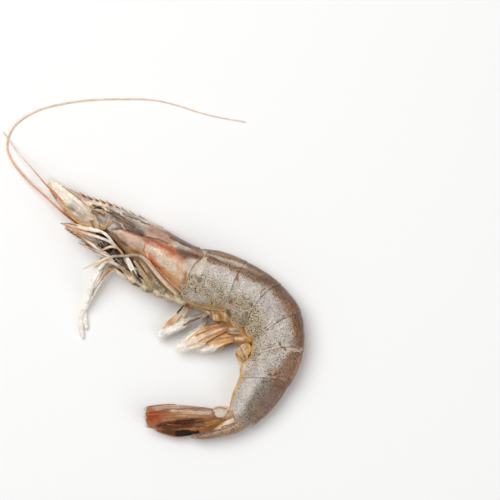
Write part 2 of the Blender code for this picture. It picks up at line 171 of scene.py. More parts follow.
# Swatches: red, green and blue as seen on a screen, and how strongly the dark specks show
SWATCHES = {
    "shell grey": (196, 184, 174, 0.6),
    "shell light": (207, 198, 188, 0.42),
    "olive": (186, 168, 138, 1.0),
    "deep olive": (160, 140, 108, 1.0),
    "back brown": (150, 106, 74, 1.0),
    "back edge": (118, 74, 48, 0.8),
    "back deep": (136, 92, 64, 0.9),
    "stripe brown": (140, 102, 74, 0.9),
    "stripe light": (194, 178, 160, 0.3),
    "seam": (118, 92, 74, 0.2),
    "seam light": (212, 202, 190, 0.1),
    "hinge": (146, 96, 62, 0.0),
    "dark spot": (84, 70, 58, 0.2),
    "gold": (212, 160, 88, 0.0),
    "membrane": (205, 190, 170, 0.2),
    "flank mid": (132, 116, 101, 0.8),
    "carapace": (190, 166, 147, 0.1),
    "head grey": (200, 187, 175, 0.35),
    "head brown": (183, 143, 120, 0.3),
    "keel": (238, 218, 198, 0.0),
    "cream": (252, 230, 202, 0.0),
    "groove": (82, 56, 38, 0.7),
    "front pink": (206, 176, 155, 0.05),
    "front shade": (112, 87, 70, 0.1),
    "low brown": (166, 108, 66, 0.1),
    "red": (184, 94, 56, 0.0),
    "deep red": (160, 78, 46, 0.0),
    "window": (220, 198, 175, 0.0),
    "window tan": (196, 158, 122, 0.05),
    "rust": (194, 110, 72, 0.1),
    "tan": (203, 150, 100, 0.1),
    "rear dark": (118, 86, 68, 0.2),
    "ridge": (198, 126, 84, 0.0),
    "ridge light": (236, 206, 174, 0.0),
    "pale band": (222, 208, 186, 0.0),
    "dark brown": (82, 46, 28, 0.0),
    "black brown": (20, 9, 5, 0.0),
    "tail pink": (206, 170, 146, 0.3),
    "tail tan": (172, 128, 88, 0.4),
    "tail white": (224, 202, 178, 0.2),
    "tail red": (160, 66, 34, 0.0),
    "tail rust": (174, 98, 62, 0.1),
    "tail gold": (182, 124, 68, 0.15),
    "telson": (178, 143, 116, 0.8),
    "scale white": (246, 235, 219, 0.0),
    "scale grey": (174, 160, 146, 0.2),
    "scale tan": (200, 177, 146, 0.1),
    "orange": (206, 126, 76, 0.0),
    "swim gold": (172, 126, 78, 0.3),
    "swim orange": (212, 158, 106, 0.0),
    "swim cream": (255, 250, 240, 0.0),
    "swim brown": (150, 98, 60, 0.0),
    "leg cream": (255, 250, 240, 0.1),
    "leg white": (240, 226, 206, 0.2),
    "leg green": (180, 166, 138, 0.6),
    "leg dark": (92, 72, 56, 0.2),
    "mouth": (44, 28, 20, 0.0),
    "thorax brown": (160, 123, 90, 0.3),
    "thorax olive": (198, 177, 143, 0.6),
    "pigment dark": (88, 60, 42, 0.3),
    "edge tan": (204, 160, 120, 0.1),
    "whip root": (164, 82, 50, 0.0),
    "whip red": (212, 124, 80, 0.0),
    "whip middle": (226, 156, 112, 0.0),
    "whip pale": (242, 212, 186, 0.0),
}


def tinted(colours, swatch, mask):
    """Colours with a swatch mixed in by a mask."""
    return colours + (np.array(SWATCHES[swatch], float) - colours) * np.clip(mask, 0, 1)[:, None]


def stroked(colours, points, strokes, wobble):
    """Colours with soft strokes laid over them in order, as (swatch, strength, width, blur, line).

    Widths, blurs and lines are in pixels of the photograph, seen from above.
    """
    spots = to_pixels(points)
    spots = spots + wobble * wander(spots)
    for swatch, strength, width, blur, line in strokes:
        colours = tinted(colours, swatch, strength * line_mask(spots, line, width, blur))
    return colours


def painted(points, ground, strokes, wobble=0.9):
    """Colours for points: a ground swatch with strokes over it."""
    return stroked(np.tile(np.array(SWATCHES[ground], float), (len(points), 1)), points, strokes, wobble)


def graded(share, stops):
    """Colours that run through swatches, as (share, swatch) stops."""
    rows = np.array([SWATCHES[swatch] for _, swatch in stops], float)
    shares = [place for place, _ in stops]
    return np.column_stack([np.interp(share, shares, rows[:, k]) for k in range(4)])


def streaked(colours, along, across, streaks):
    """Colours with fine lines along the piece, as (lines across it, swatch, strength)."""
    drift = 1.4 * ripple(np.column_stack([along * 7, across * 5]), 3.0, 40)
    fade = 0.6 + 0.4 * ripple(np.column_stack([along * 9, across * 30]), 4.0, 50)
    for count, swatch, strength in streaks:
        lines = smooth(np.sin(across * FULL_TURN * count + drift + count), 0.0, 0.9)
        colours = tinted(colours, swatch, strength * lines * fade)
    return colours


def brushed(colours, along, across, strength):
    """Colours made lighter and darker in streaks from the front to the back of a piece."""
    streaks = ripple(np.column_stack([along * 2.5, across * 42]), 2.4, 60)
    colours = colours.copy()
    colours[:, :3] *= (1 + strength * streaks)[:, None]
    return colours


def linear(colours):
    """Screen values from 0 to 255 as the linear values that shaders take."""
    values = np.clip(np.asarray(colours, float) / 255, 0, 1)
    return np.where(values <= 0.04045, values / 12.92, ((values + 0.055) / 1.055) ** 2.4)


def add_grid(form, columns, rows):
    """A grid of quads in a form, with UVs: its corners, and how far along and across it each one is."""
    made = bmesh.ops.create_grid(form, x_segments=columns, y_segments=rows, size=1.0, calc_uvs=True)["verts"]
    shares = (np.array([vert.co[:2] for vert in made]) + 1) / 2
    return made, shares[:, 0], shares[:, 1]


def build_sheet(name, columns, rows, place, paint, material, closed=False, thickness=0.0, **labels):
    """A grid of quads that `place` bends into shape, welded where it closes on itself, and painted."""
    form = bmesh.new()
    form.loops.layers.uv.new("UVMap")
    _, along, across = add_grid(form, columns, rows)
    points = place(along, across)
    dress(form, points, paint(along, across, points))
    if closed:
        bmesh.ops.remove_doubles(form, verts=form.verts, dist=WELD)
        bmesh.ops.dissolve_degenerate(form, edges=form.edges, dist=WELD)
    face_outwards(form)
    return finish_piece(name, form, material, thickness=thickness, **labels)


def dress(form, points, colours):
    """Moves a form's corners to the points and gives them their paint."""
    paint_layer = form.verts.layers.float_color.new("paint")
    specks_layer = form.verts.layers.float.new("specks")
    shades = linear(colours[:, :3])
    for vert, point, shade, specks in zip(form.verts, points, shades, colours[:, 3]):
        vert.co = Vector(point) * MM
        vert[paint_layer] = (*shade, 1.0)
        vert[specks_layer] = float(specks)


def face_outwards(form):
    """Turns a form's faces outwards, also where it is an open sheet that bends round its middle."""
    bmesh.ops.recalc_face_normals(form, faces=form.faces)
    centres = [face.calc_center_median() for face in form.faces]
    middle = sum(centres, Vector()) / len(centres)
    outward = sum(face.normal.dot(centre - middle) * face.calc_area()
                  for face, centre in zip(form.faces, centres))
    if outward < 0:
        bmesh.ops.reverse_faces(form, faces=form.faces)


def finish_piece(name, form, material, slot="shell", thickness=0.0, stands_for="prawn"):
    """A visible piece from a form, with a wall where it is a sheet; it stays with the body."""
    mesh = bpy.data.meshes.new(name)
    form.to_mesh(mesh)
    form.free()
    mesh.materials.append(material)
    mesh.shade_smooth()
    piece = bpy.data.objects.new(name, mesh)
    bpy.context.scene.collection.objects.link(piece)
    if thickness:
        wall = piece.modifiers.new("wall", "SOLIDIFY")
        wall.thickness = thickness * MM
        wall.offset = -1
    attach(piece, "root")
    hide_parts(stands_for)
    return piece


# Shader groups and materials


def new_group(name, inputs, outputs):
    """A shader group with named sockets, and the nodes at its two ends."""
    group = bpy.data.node_groups.new(name, "ShaderNodeTree")
    for label, kind, value in inputs:
        socket = group.interface.new_socket(label, in_out="INPUT", socket_type=kind)
        socket.default_value = value
    for label, kind in outputs:
        group.interface.new_socket(label, in_out="OUTPUT", socket_type=kind)
    return group, group.nodes.new("NodeGroupInput"), group.nodes.new("NodeGroupOutput")


def feed(tree, socket, value):
    """Sets a socket to a number or colour, or links another socket to it."""
    if isinstance(value, (int, float, tuple)):
        socket.default_value = value
    else:
        tree.links.new(value, socket)


def math_node(tree, operation, *values):
    """The output of a math node."""
    node = tree.nodes.new("ShaderNodeMath")
    node.operation = operation
    for socket, value in zip(node.inputs, values):
        feed(tree, socket, value)
    return node.outputs[0]


def range_node(tree, value, low, high, to_low=0.0, to_high=1.0):
    """A value carried from one range to another, with a soft step."""
    node = tree.nodes.new("ShaderNodeMapRange")
    node.interpolation_type = "SMOOTHSTEP"
    tree.links.new(value, node.inputs["Value"])
    for label, number in (("From Min", low), ("From Max", high), ("To Min", to_low), ("To Max", to_high)):
        node.inputs[label].default_value = number
    return node.outputs["Result"]


def mix_colours(tree, factor, first, second):
    """The first colour with the second one mixed in by the factor."""
    node = tree.nodes.new("ShaderNodeMix")
    node.data_type = "RGBA"
    for place, value in ((0, factor), (6, first), (7, second)):  # a mix node's sockets for colours
        feed(tree, node.inputs[place], value)
    return node.outputs[2]


SPECK_BROWN = (0.10, 0.075, 0.055, 1.0)
DOT_BROWN = (0.062, 0.043, 0.031, 1.0)


def build_marks_group():
    """Dark pigment specks and cloudy mottling over painted shell, and the height of its fine pitting."""
    tree, given, put = new_group(
        "pigment_marks",
        [("Paint", "NodeSocketColor", (0.5, 0.45, 0.4, 1.0)), ("Specks", "NodeSocketFloat", 0.5),
         ("Fine Scale", "NodeSocketFloat", 2600.0), ("Dot Scale", "NodeSocketFloat", 1950.0),
         ("Cloud Scale", "NodeSocketFloat", 260.0)],
        [("Color", "NodeSocketColor"), ("Height", "NodeSocketFloat"), ("Wetness", "NodeSocketFloat")])
    place = tree.nodes.new("ShaderNodeTexCoord").outputs["Object"]
    specks, cloud_scale = given.outputs["Specks"], given.outputs["Cloud Scale"]

    def times(first, second):
        return math_node(tree, "MULTIPLY", first, second)

    def voronoi(scale):
        node = tree.nodes.new("ShaderNodeTexVoronoi")
        tree.links.new(place, node.inputs["Vector"])
        tree.links.new(scale, node.inputs["Scale"])
        return node

    def noise(scale, detail):
        node = tree.nodes.new("ShaderNodeTexNoise")
        tree.links.new(place, node.inputs["Vector"])
        tree.links.new(scale, node.inputs["Scale"])
        node.inputs["Detail"].default_value = detail
        node.inputs["Roughness"].default_value = 0.6
        return node.outputs["Fac"]

    fine = voronoi(given.outputs["Fine Scale"])
    dots = voronoi(given.outputs["Dot Scale"])
    clouds = noise(cloud_scale, 4.0)
    grain = noise(times(cloud_scale, 6.0), 3.0)
    # Every cell holds one dot, of a size drawn by lot
    lottery = tree.nodes.new("ShaderNodeSeparateColor")
    tree.links.new(dots.outputs["Color"], lottery.inputs[0])
    dot_size = math_node(tree, "MULTIPLY_ADD", lottery.outputs["Red"], 0.34, 0.19)
    dot_size = times(dot_size, range_node(tree, specks, 0.0, 1.0, 0.28, 1.0))
    dot_mask = range_node(tree, math_node(tree, "SUBTRACT", dot_size, dots.outputs["Distance"]), -0.07, 0.07)
    dot_share = times(dot_mask, range_node(tree, specks, 0.0, 0.6, 0.0, 0.95))
    patchy = math_node(tree, "ADD", range_node(tree, clouds, 0.38, 0.62), 0.35)
    fine_share = times(range_node(tree, fine.outputs["Distance"], 0.50, 0.22), times(specks, 0.9))
    fine_share = times(fine_share, patchy)
    clouded = tree.nodes.new("ShaderNodeVectorMath")
    clouded.operation = "SCALE"
    tree.links.new(given.outputs["Paint"], clouded.inputs[0])
    blotches = range_node(tree, clouds, 0.3, 0.7, 0.82, 1.12)
    grains = range_node(tree, grain, 0.3, 0.7, 0.84, 1.18)
    tree.links.new(times(blotches, grains), clouded.inputs["Scale"])
    colour = mix_colours(tree, fine_share, clouded.outputs[0], SPECK_BROWN)
    tree.links.new(mix_colours(tree, dot_share, colour, DOT_BROWN), put.inputs["Color"])
    tree.links.new(math_node(tree, "MULTIPLY_ADD", grain, 0.6, times(clouds, 0.5)), put.inputs["Height"])
    tree.links.new(range_node(tree, clouds, 0.35, 0.65), put.inputs["Wetness"])
    return tree


MARKS = build_marks_group()


def painted_material(name, roughness, wet_roughness, coat, bump, shine=0.32, cloud_scale=None):
    """Painted shell or skin: pigment marks over the piece's paint, with wet and dull patches."""
    material = bpy.data.materials.new(name)
    material.use_nodes = True
    tree = material.node_tree
    shader = tree.nodes["Principled BSDF"]
    marks = tree.nodes.new("ShaderNodeGroup")
    marks.node_tree = MARKS
    if cloud_scale:
        marks.inputs["Cloud Scale"].default_value = cloud_scale
    for attribute, output, given in (("paint", "Color", "Paint"), ("specks", "Fac", "Specks")):
        reader = tree.nodes.new("ShaderNodeAttribute")
        reader.attribute_name = attribute
        tree.links.new(reader.outputs[output], marks.inputs[given])
    tree.links.new(marks.outputs["Color"], shader.inputs["Base Color"])
    rough = range_node(tree, marks.outputs["Wetness"], 0.0, 1.0, roughness, wet_roughness)
    tree.links.new(rough, shader.inputs["Roughness"])
    relief = tree.nodes.new("ShaderNodeBump")
    relief.inputs["Strength"].default_value = bump
    relief.inputs["Distance"].default_value = 0.0002
    tree.links.new(marks.outputs["Height"], relief.inputs["Height"])
    tree.links.new(relief.outputs["Normal"], shader.inputs["Normal"])
    shader.inputs["Coat Weight"].default_value = coat
    shader.inputs["Coat Roughness"].default_value = 0.12
    shader.inputs["Specular IOR Level"].default_value = shine
    return material


def plain_material(name, colour, roughness, coat=0.0):
    """One even colour."""
    material = bpy.data.materials.new(name)
    material.use_nodes = True
    shader = material.node_tree.nodes["Principled BSDF"]
    shader.inputs["Base Color"].default_value = (*linear(colour), 1.0)
    shader.inputs["Roughness"].default_value = roughness
    shader.inputs["Coat Weight"].default_value = coat
    return material


SHELL = painted_material("speckled_shell", 0.46, 0.30, 0.14, 0.4)
LEAF = painted_material("ribbed_membrane", 0.55, 0.42, 0.02, 0.3, 0.08, 420.0)
LIMB = painted_material("limb_skin", 0.48, 0.32, 0.08, 0.3, 0.2, 500.0)
WHIP = painted_material("whip_skin", 0.42, 0.34, 0.05, 0.2, cloud_scale=500.0)
BRISTLE = painted_material("bristle", 0.5, 0.4, 0.0, 0.0)
EYE_BLACK = plain_material("eye_black", (24, 20, 19), 0.12, 0.6)


# The body


def section_points(station, angle, grow, under_rows=BELLY, narrow=0.8):
    """Points on the body's skin: the angle runs from the back, 0, to the belly, half a turn each way."""
    back = rows_at(BACK, station)
    under = rows_at(under_rows, station)
    up = back - under
    half = np.linalg.norm(up, axis=1, keepdims=True) / 2
    up = up / (2 * half)
    power = 2 / SECTION_POWER
    rise = np.sign(np.cos(angle)) * np.abs(np.cos(angle)) ** power
    side = np.sign(np.sin(angle)) * np.abs(np.sin(angle)) ** power
    side = np.where(rise < 0, side * (1 + (narrow - 1) * rise**2), side)
    middle = (back + under) / 2
    plane = middle + up * (rise * (half[:, 0] + grow))[:, None]
    height = lift_at(station) + side * (rows_at(WIDTH, station)[:, 0] / 2 + grow)
    return np.column_stack([plane, rested(height)])


def relief_at(points, strokes):
    """Height in millimetres of grooves and ridges drawn over the flank."""
    spots = to_pixels(points)
    total = np.zeros(len(points))
    for height, width, blur, line in strokes:
        total += height * line_mask(spots, line, width, blur)
    return total


CARAPACE_STROKES = [
    ("head grey", 1.0, 26, 8, [(108, 213), (130, 221), (152, 231)]),
    ("head brown", 0.9, 14, 11, [(152, 232), (168, 239), (182, 248)]),
    ("keel", 0.7, 5, 3, [(100, 204), (112, 209), (124, 214)]),
    ("head grey", 0.9, 7, 4, [(176, 245), (186, 248), (196, 252)]),
    ("back edge", 0.9, 4.6, 3, [(172, 236), (184, 242.5), (197, 248)]),
    ("seam", 0.8, 2.2, 1.6, [(126, 212), (146, 221), (170, 234)]),
    ("keel", 0.9, 3.4, 2.2, [(141, 219.5), (154, 224.5), (165, 229.5)]),
    ("pigment dark", 0.7, 2.4, 2.0, [(176, 239.5), (187, 245.5), (197, 251)]),
    ("rear dark", 0.95, 9, 5, [(179, 253), (189, 256), (198, 255)]),
    ("pigment dark", 0.45, 6, 5, [(182, 254), (190, 257), (197, 257)]),
    ("head grey", 0.35, 2.6, 2, [(182, 247), (190, 250.5), (198, 254)]),
    ("head brown", 0.7, 5, 4, [(192, 250), (200, 253)]),
    ("head grey", 0.85, 9, 6, [(190, 262), (196, 264), (190, 274)]),
    ("groove", 0.8, 10, 6, [(103, 210), (112, 217), (122, 223), (134, 230), (141, 234)]),
    ("head grey", 0.7, 2.2, 2, [(110, 221), (120, 225), (127, 228)]),
    ("low brown", 0.75, 4, 3, [(121, 219), (128, 225), (136, 231)]),
    ("low brown", 0.8, 1.4, 1.0, [(113, 216), (122, 221), (133, 227)]),
    ("groove", 0.8, 3, 2.4, [(113, 229), (124, 230), (138, 234)]),
    ("groove", 0.9, 3.0, 1.8, [(105, 210), (116, 217), (127, 226), (139, 234)]),
    ("groove", 0.8, 2.2, 1.6, [(112, 212), (122, 218), (134, 227)]),
    ("groove", 0.7, 2.4, 1.8, [(110, 219), (120, 226), (130, 231)]),
    ("groove", 0.8, 4, 2.6, [(124, 228), (133, 231.5), (141, 235)]),
    ("ridge", 0.7, 1.3, 1.0, [(121, 220), (127, 226), (131, 229)]),
    ("keel", 0.6, 1.4, 1.0, [(108, 214), (117, 221), (125, 228)]),
    ("black brown", 0.6, 1.6, 1.2, [(106, 210), (109, 217), (112, 224)]),
    ("black brown", 0.5, 1.6, 1.2, [(126, 225), (134, 230), (142, 236)]),
    ("groove", 0.8, 1.4, 1.0, [(124, 214), (138, 220), (150, 226)]),
    ("head grey", 0.8, 6, 4, [(108, 227), (114, 226)]),
    ("keel", 0.6, 3.5, 2.5, [(112, 233), (124, 233), (132, 235)]),
    ("front pink", 1.0, 15, 7, [(122, 238), (134, 243), (146, 250)]),
    ("front shade", 0.9, 7, 6, [(110, 236), (117, 240), (125, 247)]),
    ("low brown", 0.9, 8, 5, [(122, 250), (133, 253), (143, 254)]),
    ("tan", 0.7, 3, 3, [(124, 247), (134, 248.5), (143, 250)]),
    ("window", 1.0, 23, 7, [(153, 251), (163, 258), (172, 265), (176, 271)]),
    ("red", 0.5, 2.6, 2.2, [(124, 230.5), (134, 234.5), (146, 239)]),
    ("red", 0.9, 5.6, 3.6, [(146, 239.5), (156, 243.5), (165, 247.5), (174, 252)]),
    ("deep red", 0.5, 3, 3, [(146, 238.5), (158, 243.5), (166, 248), (173, 252)]),
    ("groove", 0.65, 1.8, 1.4, [(147, 236), (158, 240), (168, 243.5)]),
    ("rust", 0.55, 8, 7, [(166, 250), (176, 256), (181, 259)]),
    ("window", 0.5, 1.6, 1.4, [(150, 243), (160, 247), (168, 252)]),
    ("rust", 0.95, 9, 5, [(148, 257), (153, 264), (161, 271), (168, 278)]),
    ("deep red", 0.5, 4, 3, [(150, 260), (156, 268), (163, 276)]),
    ("tan", 0.95, 11, 6, [(164, 274), (173, 279), (175, 284)]),
    ("window tan", 0.7, 7, 5, [(179, 265), (182, 273)]),
    ("low brown", 0.85, 4.5, 3.5, [(186, 274), (185, 281), (181, 287)]),
    ("pale band", 0.95, 5.0, 2, [(150, 264), (161, 276), (171, 287), (181, 297)]),
    ("tan", 0.8, 1.3, 1.0, [(153, 266), (163, 277.5), (174, 290)]),
    ("ridge", 0.9, 2.2, 1.2, [(148, 242), (144.5, 247), (143.5, 252), (146, 258), (150, 263)]),
    ("ridge light", 0.8, 1.6, 1.0, [(147, 244), (146, 251), (148, 258), (151.5, 263)]),
]
CARAPACE_RELIEF = [
    (-0.45, 5, 4, [(106, 212), (118, 220), (132, 229), (143, 234)]),
    (-0.3, 3, 3, [(113, 229), (126, 230), (138, 234)]),
    (0.3, 5, 5, [(128, 233), (146, 239), (166, 248), (178, 255)]),
    (-0.25, 2.5, 2.5, [(146, 235.5), (160, 240.5), (174, 247)]),
    (0.4, 18, 12, [(154, 254), (166, 262), (176, 272)]),
    (0.35, 2.6, 2, [(148, 242), (144.5, 247), (143.5, 252), (146, 258), (150, 263)]),
    (0.22, 2.0, 1.6, [(146, 222), (158, 227.5), (170, 233)]),
    (-0.2, 7, 6, [(112, 236), (122, 241), (130, 248)]),
]
CARAPACE_HALF_ANGLE = math.radians(150)
# Swatches along the middle of the carapace's back, as (share, swatch)
CARAPACE_BACK = [(0.0, "head grey"), (0.3, "head grey"), (0.45, "carapace"), (0.64, "head brown"),
                 (0.86, "back edge"), (1.0, "back edge")]


def build_carapace():
    """The head's shell, open underneath, with an eye notch in its front and a bead round its edges."""
    def spread_of(along, across):
        angle = (across - 0.5) * 2 * CARAPACE_HALF_ANGLE
        lean = np.abs(np.degrees(angle))
        front = 0.15 + 0.65 * hump(lean, 42, 17) + 0.25 * smooth(lean, 60, 110)
        front = front + 0.8 * smooth(lean, 122, 150)
        rear = 6.02 + 0.36 * hump(lean, 50, 24) - 0.04 * hump(lean, 95, 25) - 0.1 * smooth(lean, 130, 150)
        return angle, front + (rear - front) * along

    def place(along, across):
        angle, station = spread_of(along, across)
        lean = np.abs(np.degrees(angle))
        rim = 0.05 * hump(along, 0.992, 0.012) + 0.12 * hump(along, 0.004, 0.01) + 0.16 * hump(lean, 147, 3)
        grow = 0.22 * along + rim
        flat = section_points(station, angle, grow, CARAPACE_EDGE, 1.08)
        grow = grow + relief_at(flat, CARAPACE_RELIEF) + 0.06 * ripple(flat[:, :2], 5.0, 3)
        return section_points(station, angle, grow, CARAPACE_EDGE, 1.08)

    def paint(along, across, points):
        lean = np.abs(np.degrees(spread_of(along, across)[0]))
        upper = 1 - smooth(lean, 62, 90)
        colours = painted(points, "carapace", CARAPACE_STROKES)
        shift = along + 0.05 * ripple(np.column_stack([along * 20, across * 60]), 6.0, 90)
        back = 1 - smooth(lean, 12, 42)
        colours += (graded(shift, CARAPACE_BACK) - colours) * back[:, None]
        middle = smooth(along, 0.22, 0.32) * (1 - smooth(along, 0.55, 0.72))
        colours = tinted(colours, "keel", 0.5 * hump(lean, 17, 8) * middle)
        colours = brushed(colours, along, across, 0.10)
        front = (1 - smooth(along, 0.2, 0.42)) * upper
        colours = streaked(colours, along, across, [(53, "groove", 0.5 * front), (31, "keel", 0.5 * front)])
        colours = tinted(colours, "hinge", (0.04 + 0.6 * upper) * smooth(along, 0.985, 0.996))
        return colours

    return build_sheet("carapace", 190, 230, place, paint, SHELL, thickness=0.4)


ABDOMEN_STROKES = [
    ("olive", 0.85, 34, 14, [(186, 290), (205, 296), (224, 302), (240, 312), (250, 326), (254, 344)]),
    ("shell light", 0.6, 14, 10, [(216, 268), (228, 282), (234, 290)]),
    ("shell light", 0.6, 14, 10, [(244, 280), (252, 290), (256, 298)]),
    ("shell light", 0.5, 12, 8, [(268, 296), (272, 312), (266, 320)]),
    ("shell light", 0.6, 12, 8, [(286, 318), (276, 332), (264, 340), (262, 350)]),
    ("shell light", 0.6, 12, 8, [(268, 356), (262, 368), (252, 376)]),
    ("shell light", 0.85, 13, 8, [(252, 382), (244, 396), (238, 408)]),
    ("deep olive", 0.6, 10, 8, [(188, 301), (212, 307), (230, 314), (240, 327), (247, 345)]),
    ("membrane", 0.8, 11, 5, [(203, 250), (204, 262), (196, 270)]),
    ("swim gold", 0.6, 7, 6, [(190, 301), (208, 305.5), (227, 308.5)]),
    ("gold", 0.5, 3.5, 3, [(229, 318), (236, 323.5), (244, 325)]),
    ("shell grey", 0.8, 9, 6, [(189, 296), (202, 299)]),
    ("shell grey", 0.5, 8, 6, [(206, 284), (216, 292)]),
    ("shell grey", 0.4, 8, 6, [(226, 300), (238, 318)]),
    ("thorax brown", 0.6, 5, 4, [(231, 298), (234, 306)]),
    ("deep olive", 0.6, 8, 6, [(236, 318), (244, 322)]),
    ("back brown", 0.85, 22, 12, [(256, 262), (276, 278), (292, 298), (302, 322)]),
    ("back brown", 0.85, 17, 8, [(303, 318), (300, 346)]),
    ("back brown", 0.9, 20, 8, [(298, 356), (290, 370), (282, 380)]),
    ("back brown", 0.5, 8, 6, [(272, 372), (280, 376)]),
    ("stripe brown", 0.9, 6, 3, [(210, 251), (228, 255.5), (246, 261), (262, 269)]),
    ("stripe light", 0.9, 3.2, 2, [(209, 256.5), (226, 260), (244, 266.5), (262, 275)]),
    ("stripe brown", 0.75, 6, 4, [(210, 259.5), (224, 264), (240, 270), (256, 279), (266, 280)]),
    ("back edge", 0.8, 8, 6, [(262, 267), (280, 281), (294, 298), (303, 318), (305, 345)]),
    ("back edge", 0.8, 7, 5, [(303, 352), (300, 366), (291, 385)]),
    ("membrane", 0.8, 4.5, 3, [(284, 349.5), (294, 349.5), (304, 350)]),
    ("flank mid", 0.75, 13, 8, [(268, 384), (258, 398), (250, 412), (244, 420)]),
    ("back edge", 0.55, 14, 6, [(280, 390), (270, 404), (256, 418)]),
    ("pigment dark", 0.4, 12, 8, [(274, 388), (266, 402)]),
    ("back edge", 0.5, 4, 4, [(284, 395), (272, 410), (256, 424)]),
    ("gold", 0.9, 3.2, 2, [(243, 363), (238, 372), (236, 380), (231.5, 394), (227.5, 410)]),
    ("seam light", 0.8, 5, 3, [(243, 366), (240, 376)]),
    ("gold", 0.7, 1.4, 1.2, [(252, 370), (241, 379)]),
    ("hinge", 0.9, 1.8, 1.4, [(231, 412), (234, 417), (236, 423), (241, 427)]),
    ("red", 0.8, 2.6, 2.0, [(241.5, 424), (243, 426)]),
    ("edge tan", 0.6, 3.0, 3.0, [(301, 356), (298, 366), (292, 378)]),
    ("dark spot", 0.85, 4.5, 3, [(228, 311), (228.5, 316)]),
    ("dark spot", 0.8, 3, 2, [(251.5, 305.5)]),
    ("dark spot", 0.6, 3, 2, [(231, 302)]),
    ("dark spot", 0.6, 4, 3, [(247, 312), (246, 316)]),
    ("dark spot", 0.6, 5, 4, [(197, 277), (200, 279)]),
    ("hinge", 0.9, 1.7, 1.2, [(238, 272), (236.5, 275), (237.5, 281)]),
    ("hinge", 0.9, 1.7, 1.2, [(265, 288), (262, 291), (261, 296)]),
    ("pigment dark", 0.9, 1.8, 1.2, [(280, 342), (282, 346), (285, 350)]),
    ("hinge", 0.7, 1.4, 1.0, [(278, 348), (282, 346)]),
    ("pigment dark", 0.9, 1.8, 1.2, [(268, 374), (271, 377), (276, 374)]),
    ("hinge", 0.7, 1.4, 1.0, [(272, 377), (278, 381)]),
    ("pigment dark", 0.7, 1.3, 1.0, [(209, 250.5), (206, 255.5), (213, 259), (224, 263)]),
    ("tan", 0.5, 2.0, 2.0, [(212, 252), (226, 255), (240, 259)]),
    ("pigment dark", 0.4, 7, 6, [(250, 270), (262, 276), (274, 286), (284, 298)]),
    ("dark spot", 0.6, 2.6, 2, [(284, 316), (277, 321)]),
]
BOUNDARY_BOW = [0.0, 0.20, 0.48, 0.35, 0.5, 0.32, 0.1]
RING_HALF_ANGLE = math.radians(152)
REAR_RIM = 0.14
RING_OVERLAP = 0.32
PLEURA_DROP = [1.1, 3.0, 1.7, 1.2, 2.2, 1.1]  # how far each ring's side plate hangs below its flank


def boundary(number, angle):
    """Station of the seam behind a ring, which bows forwards on the flanks."""
    return RING_STATIONS[number] - BOUNDARY_BOW[number] * np.sin(angle) ** 2


def build_ring(number):
    """One abdomen ring: an arched shell with a raised rear edge and a rounded side plate on each flank."""
    def place(along, across):
        angle = (across - 0.5) * 2 * RING_HALF_ANGLE
        lean = np.abs(np.degrees(angle))
        tucked = RING_OVERLAP * (1 - smooth(lean, 95, 130) if number == 0 else 1)
        start = boundary(number, angle) - tucked
        station = start + (boundary(number + 1, angle) - start) * along
        rim = 0.05 * hump(along, 0.985, 0.02) - 0.05 * hump(along, 0.93, 0.03)
        shoulder = -0.22 * hump(along, 0.30, 0.06) * smooth(lean, 8, 20) * (1 - smooth(lean, 95, 120))
        knob = 0.35 * hump(along, 0.97, 0.05) * hump(lean, 74, 7)
        edge = 0.2 * hump(lean, 149, 3.5)
        lip = 0.8 * smooth(along, 0.93, 1.0) ** 2 if number == 5 else 0.0
        grow = REAR_RIM * (2 * along - 1) + rim + shoulder + knob + edge - lip
        points = section_points(station, angle, grow)
        grow = grow + 0.07 * ripple(points[:, :2], 4.5, 10 + number)
        points = section_points(station, angle, grow)
        back, under = rows_at(BACK, station), rows_at(BELLY, station)
        down = (under - back) / np.linalg.norm(under - back, axis=1, keepdims=True)
        lobe = np.clip(np.sin(math.pi * np.clip((along - 0.08) / 0.92, 0, 1)), 0, 1) ** 0.6
        lobe = lobe * PLEURA_DROP[number] * smooth(lean, 95, 150)
        points[:, :2] += down * lobe[:, None]
        points[:, 2] += 0.2 * lobe * np.sign(np.sin(angle))
        if number == 5:
            bulge = smooth(along, 0.75, 1.0) * np.sin(angle) ** 2
            points[:, :2] += bulge[:, None] * np.array([-1.0, -1.4])
        return points

    def paint(along, across, points):
        lean = np.abs(np.degrees((across - 0.5) * 2 * RING_HALF_ANGLE))
        colours = painted(points, "shell grey", ABDOMEN_STROKES)
        colours[:, :3] *= (1 + 0.06 * ripple(to_pixels(points), 15, 70))[:, None]
        flank = smooth(lean, 22, 40)
        patchy = 0.5 + 0.5 * ripple(to_pixels(points), 10, 30 + number)
        colours = tinted(colours, "back deep", 0.75 * (1 - smooth(lean, 8, 30)))
        if number in (3, 4):
            nearness = smooth(along, 0.1, 0.9) if number == 3 else 1 - smooth(along, 0.2, 0.9)
            colours = tinted(colours, "edge tan", 0.45 * hump(lean, 9, 7) * nearness * (0.3 + 0.7 * patchy))
        colours = tinted(colours, "seam light", 0.35 * hump(along, 0.95, 0.03) * flank * patchy)
        colours = tinted(colours, "seam", 0.3 * smooth(along, 0.978, 0.995) * (0.2 + 0.8 * patchy))
        colours = tinted(colours, "gold", 0.9 * smooth(lean, 144 - 1.8 * number, 150))
        return colours

    return build_sheet(f"ring_{number + 1}", 56, 210, place, paint, SHELL, thickness=0.3)


FLESH_START = 0.3
FLESH_LENGTH = 17.4


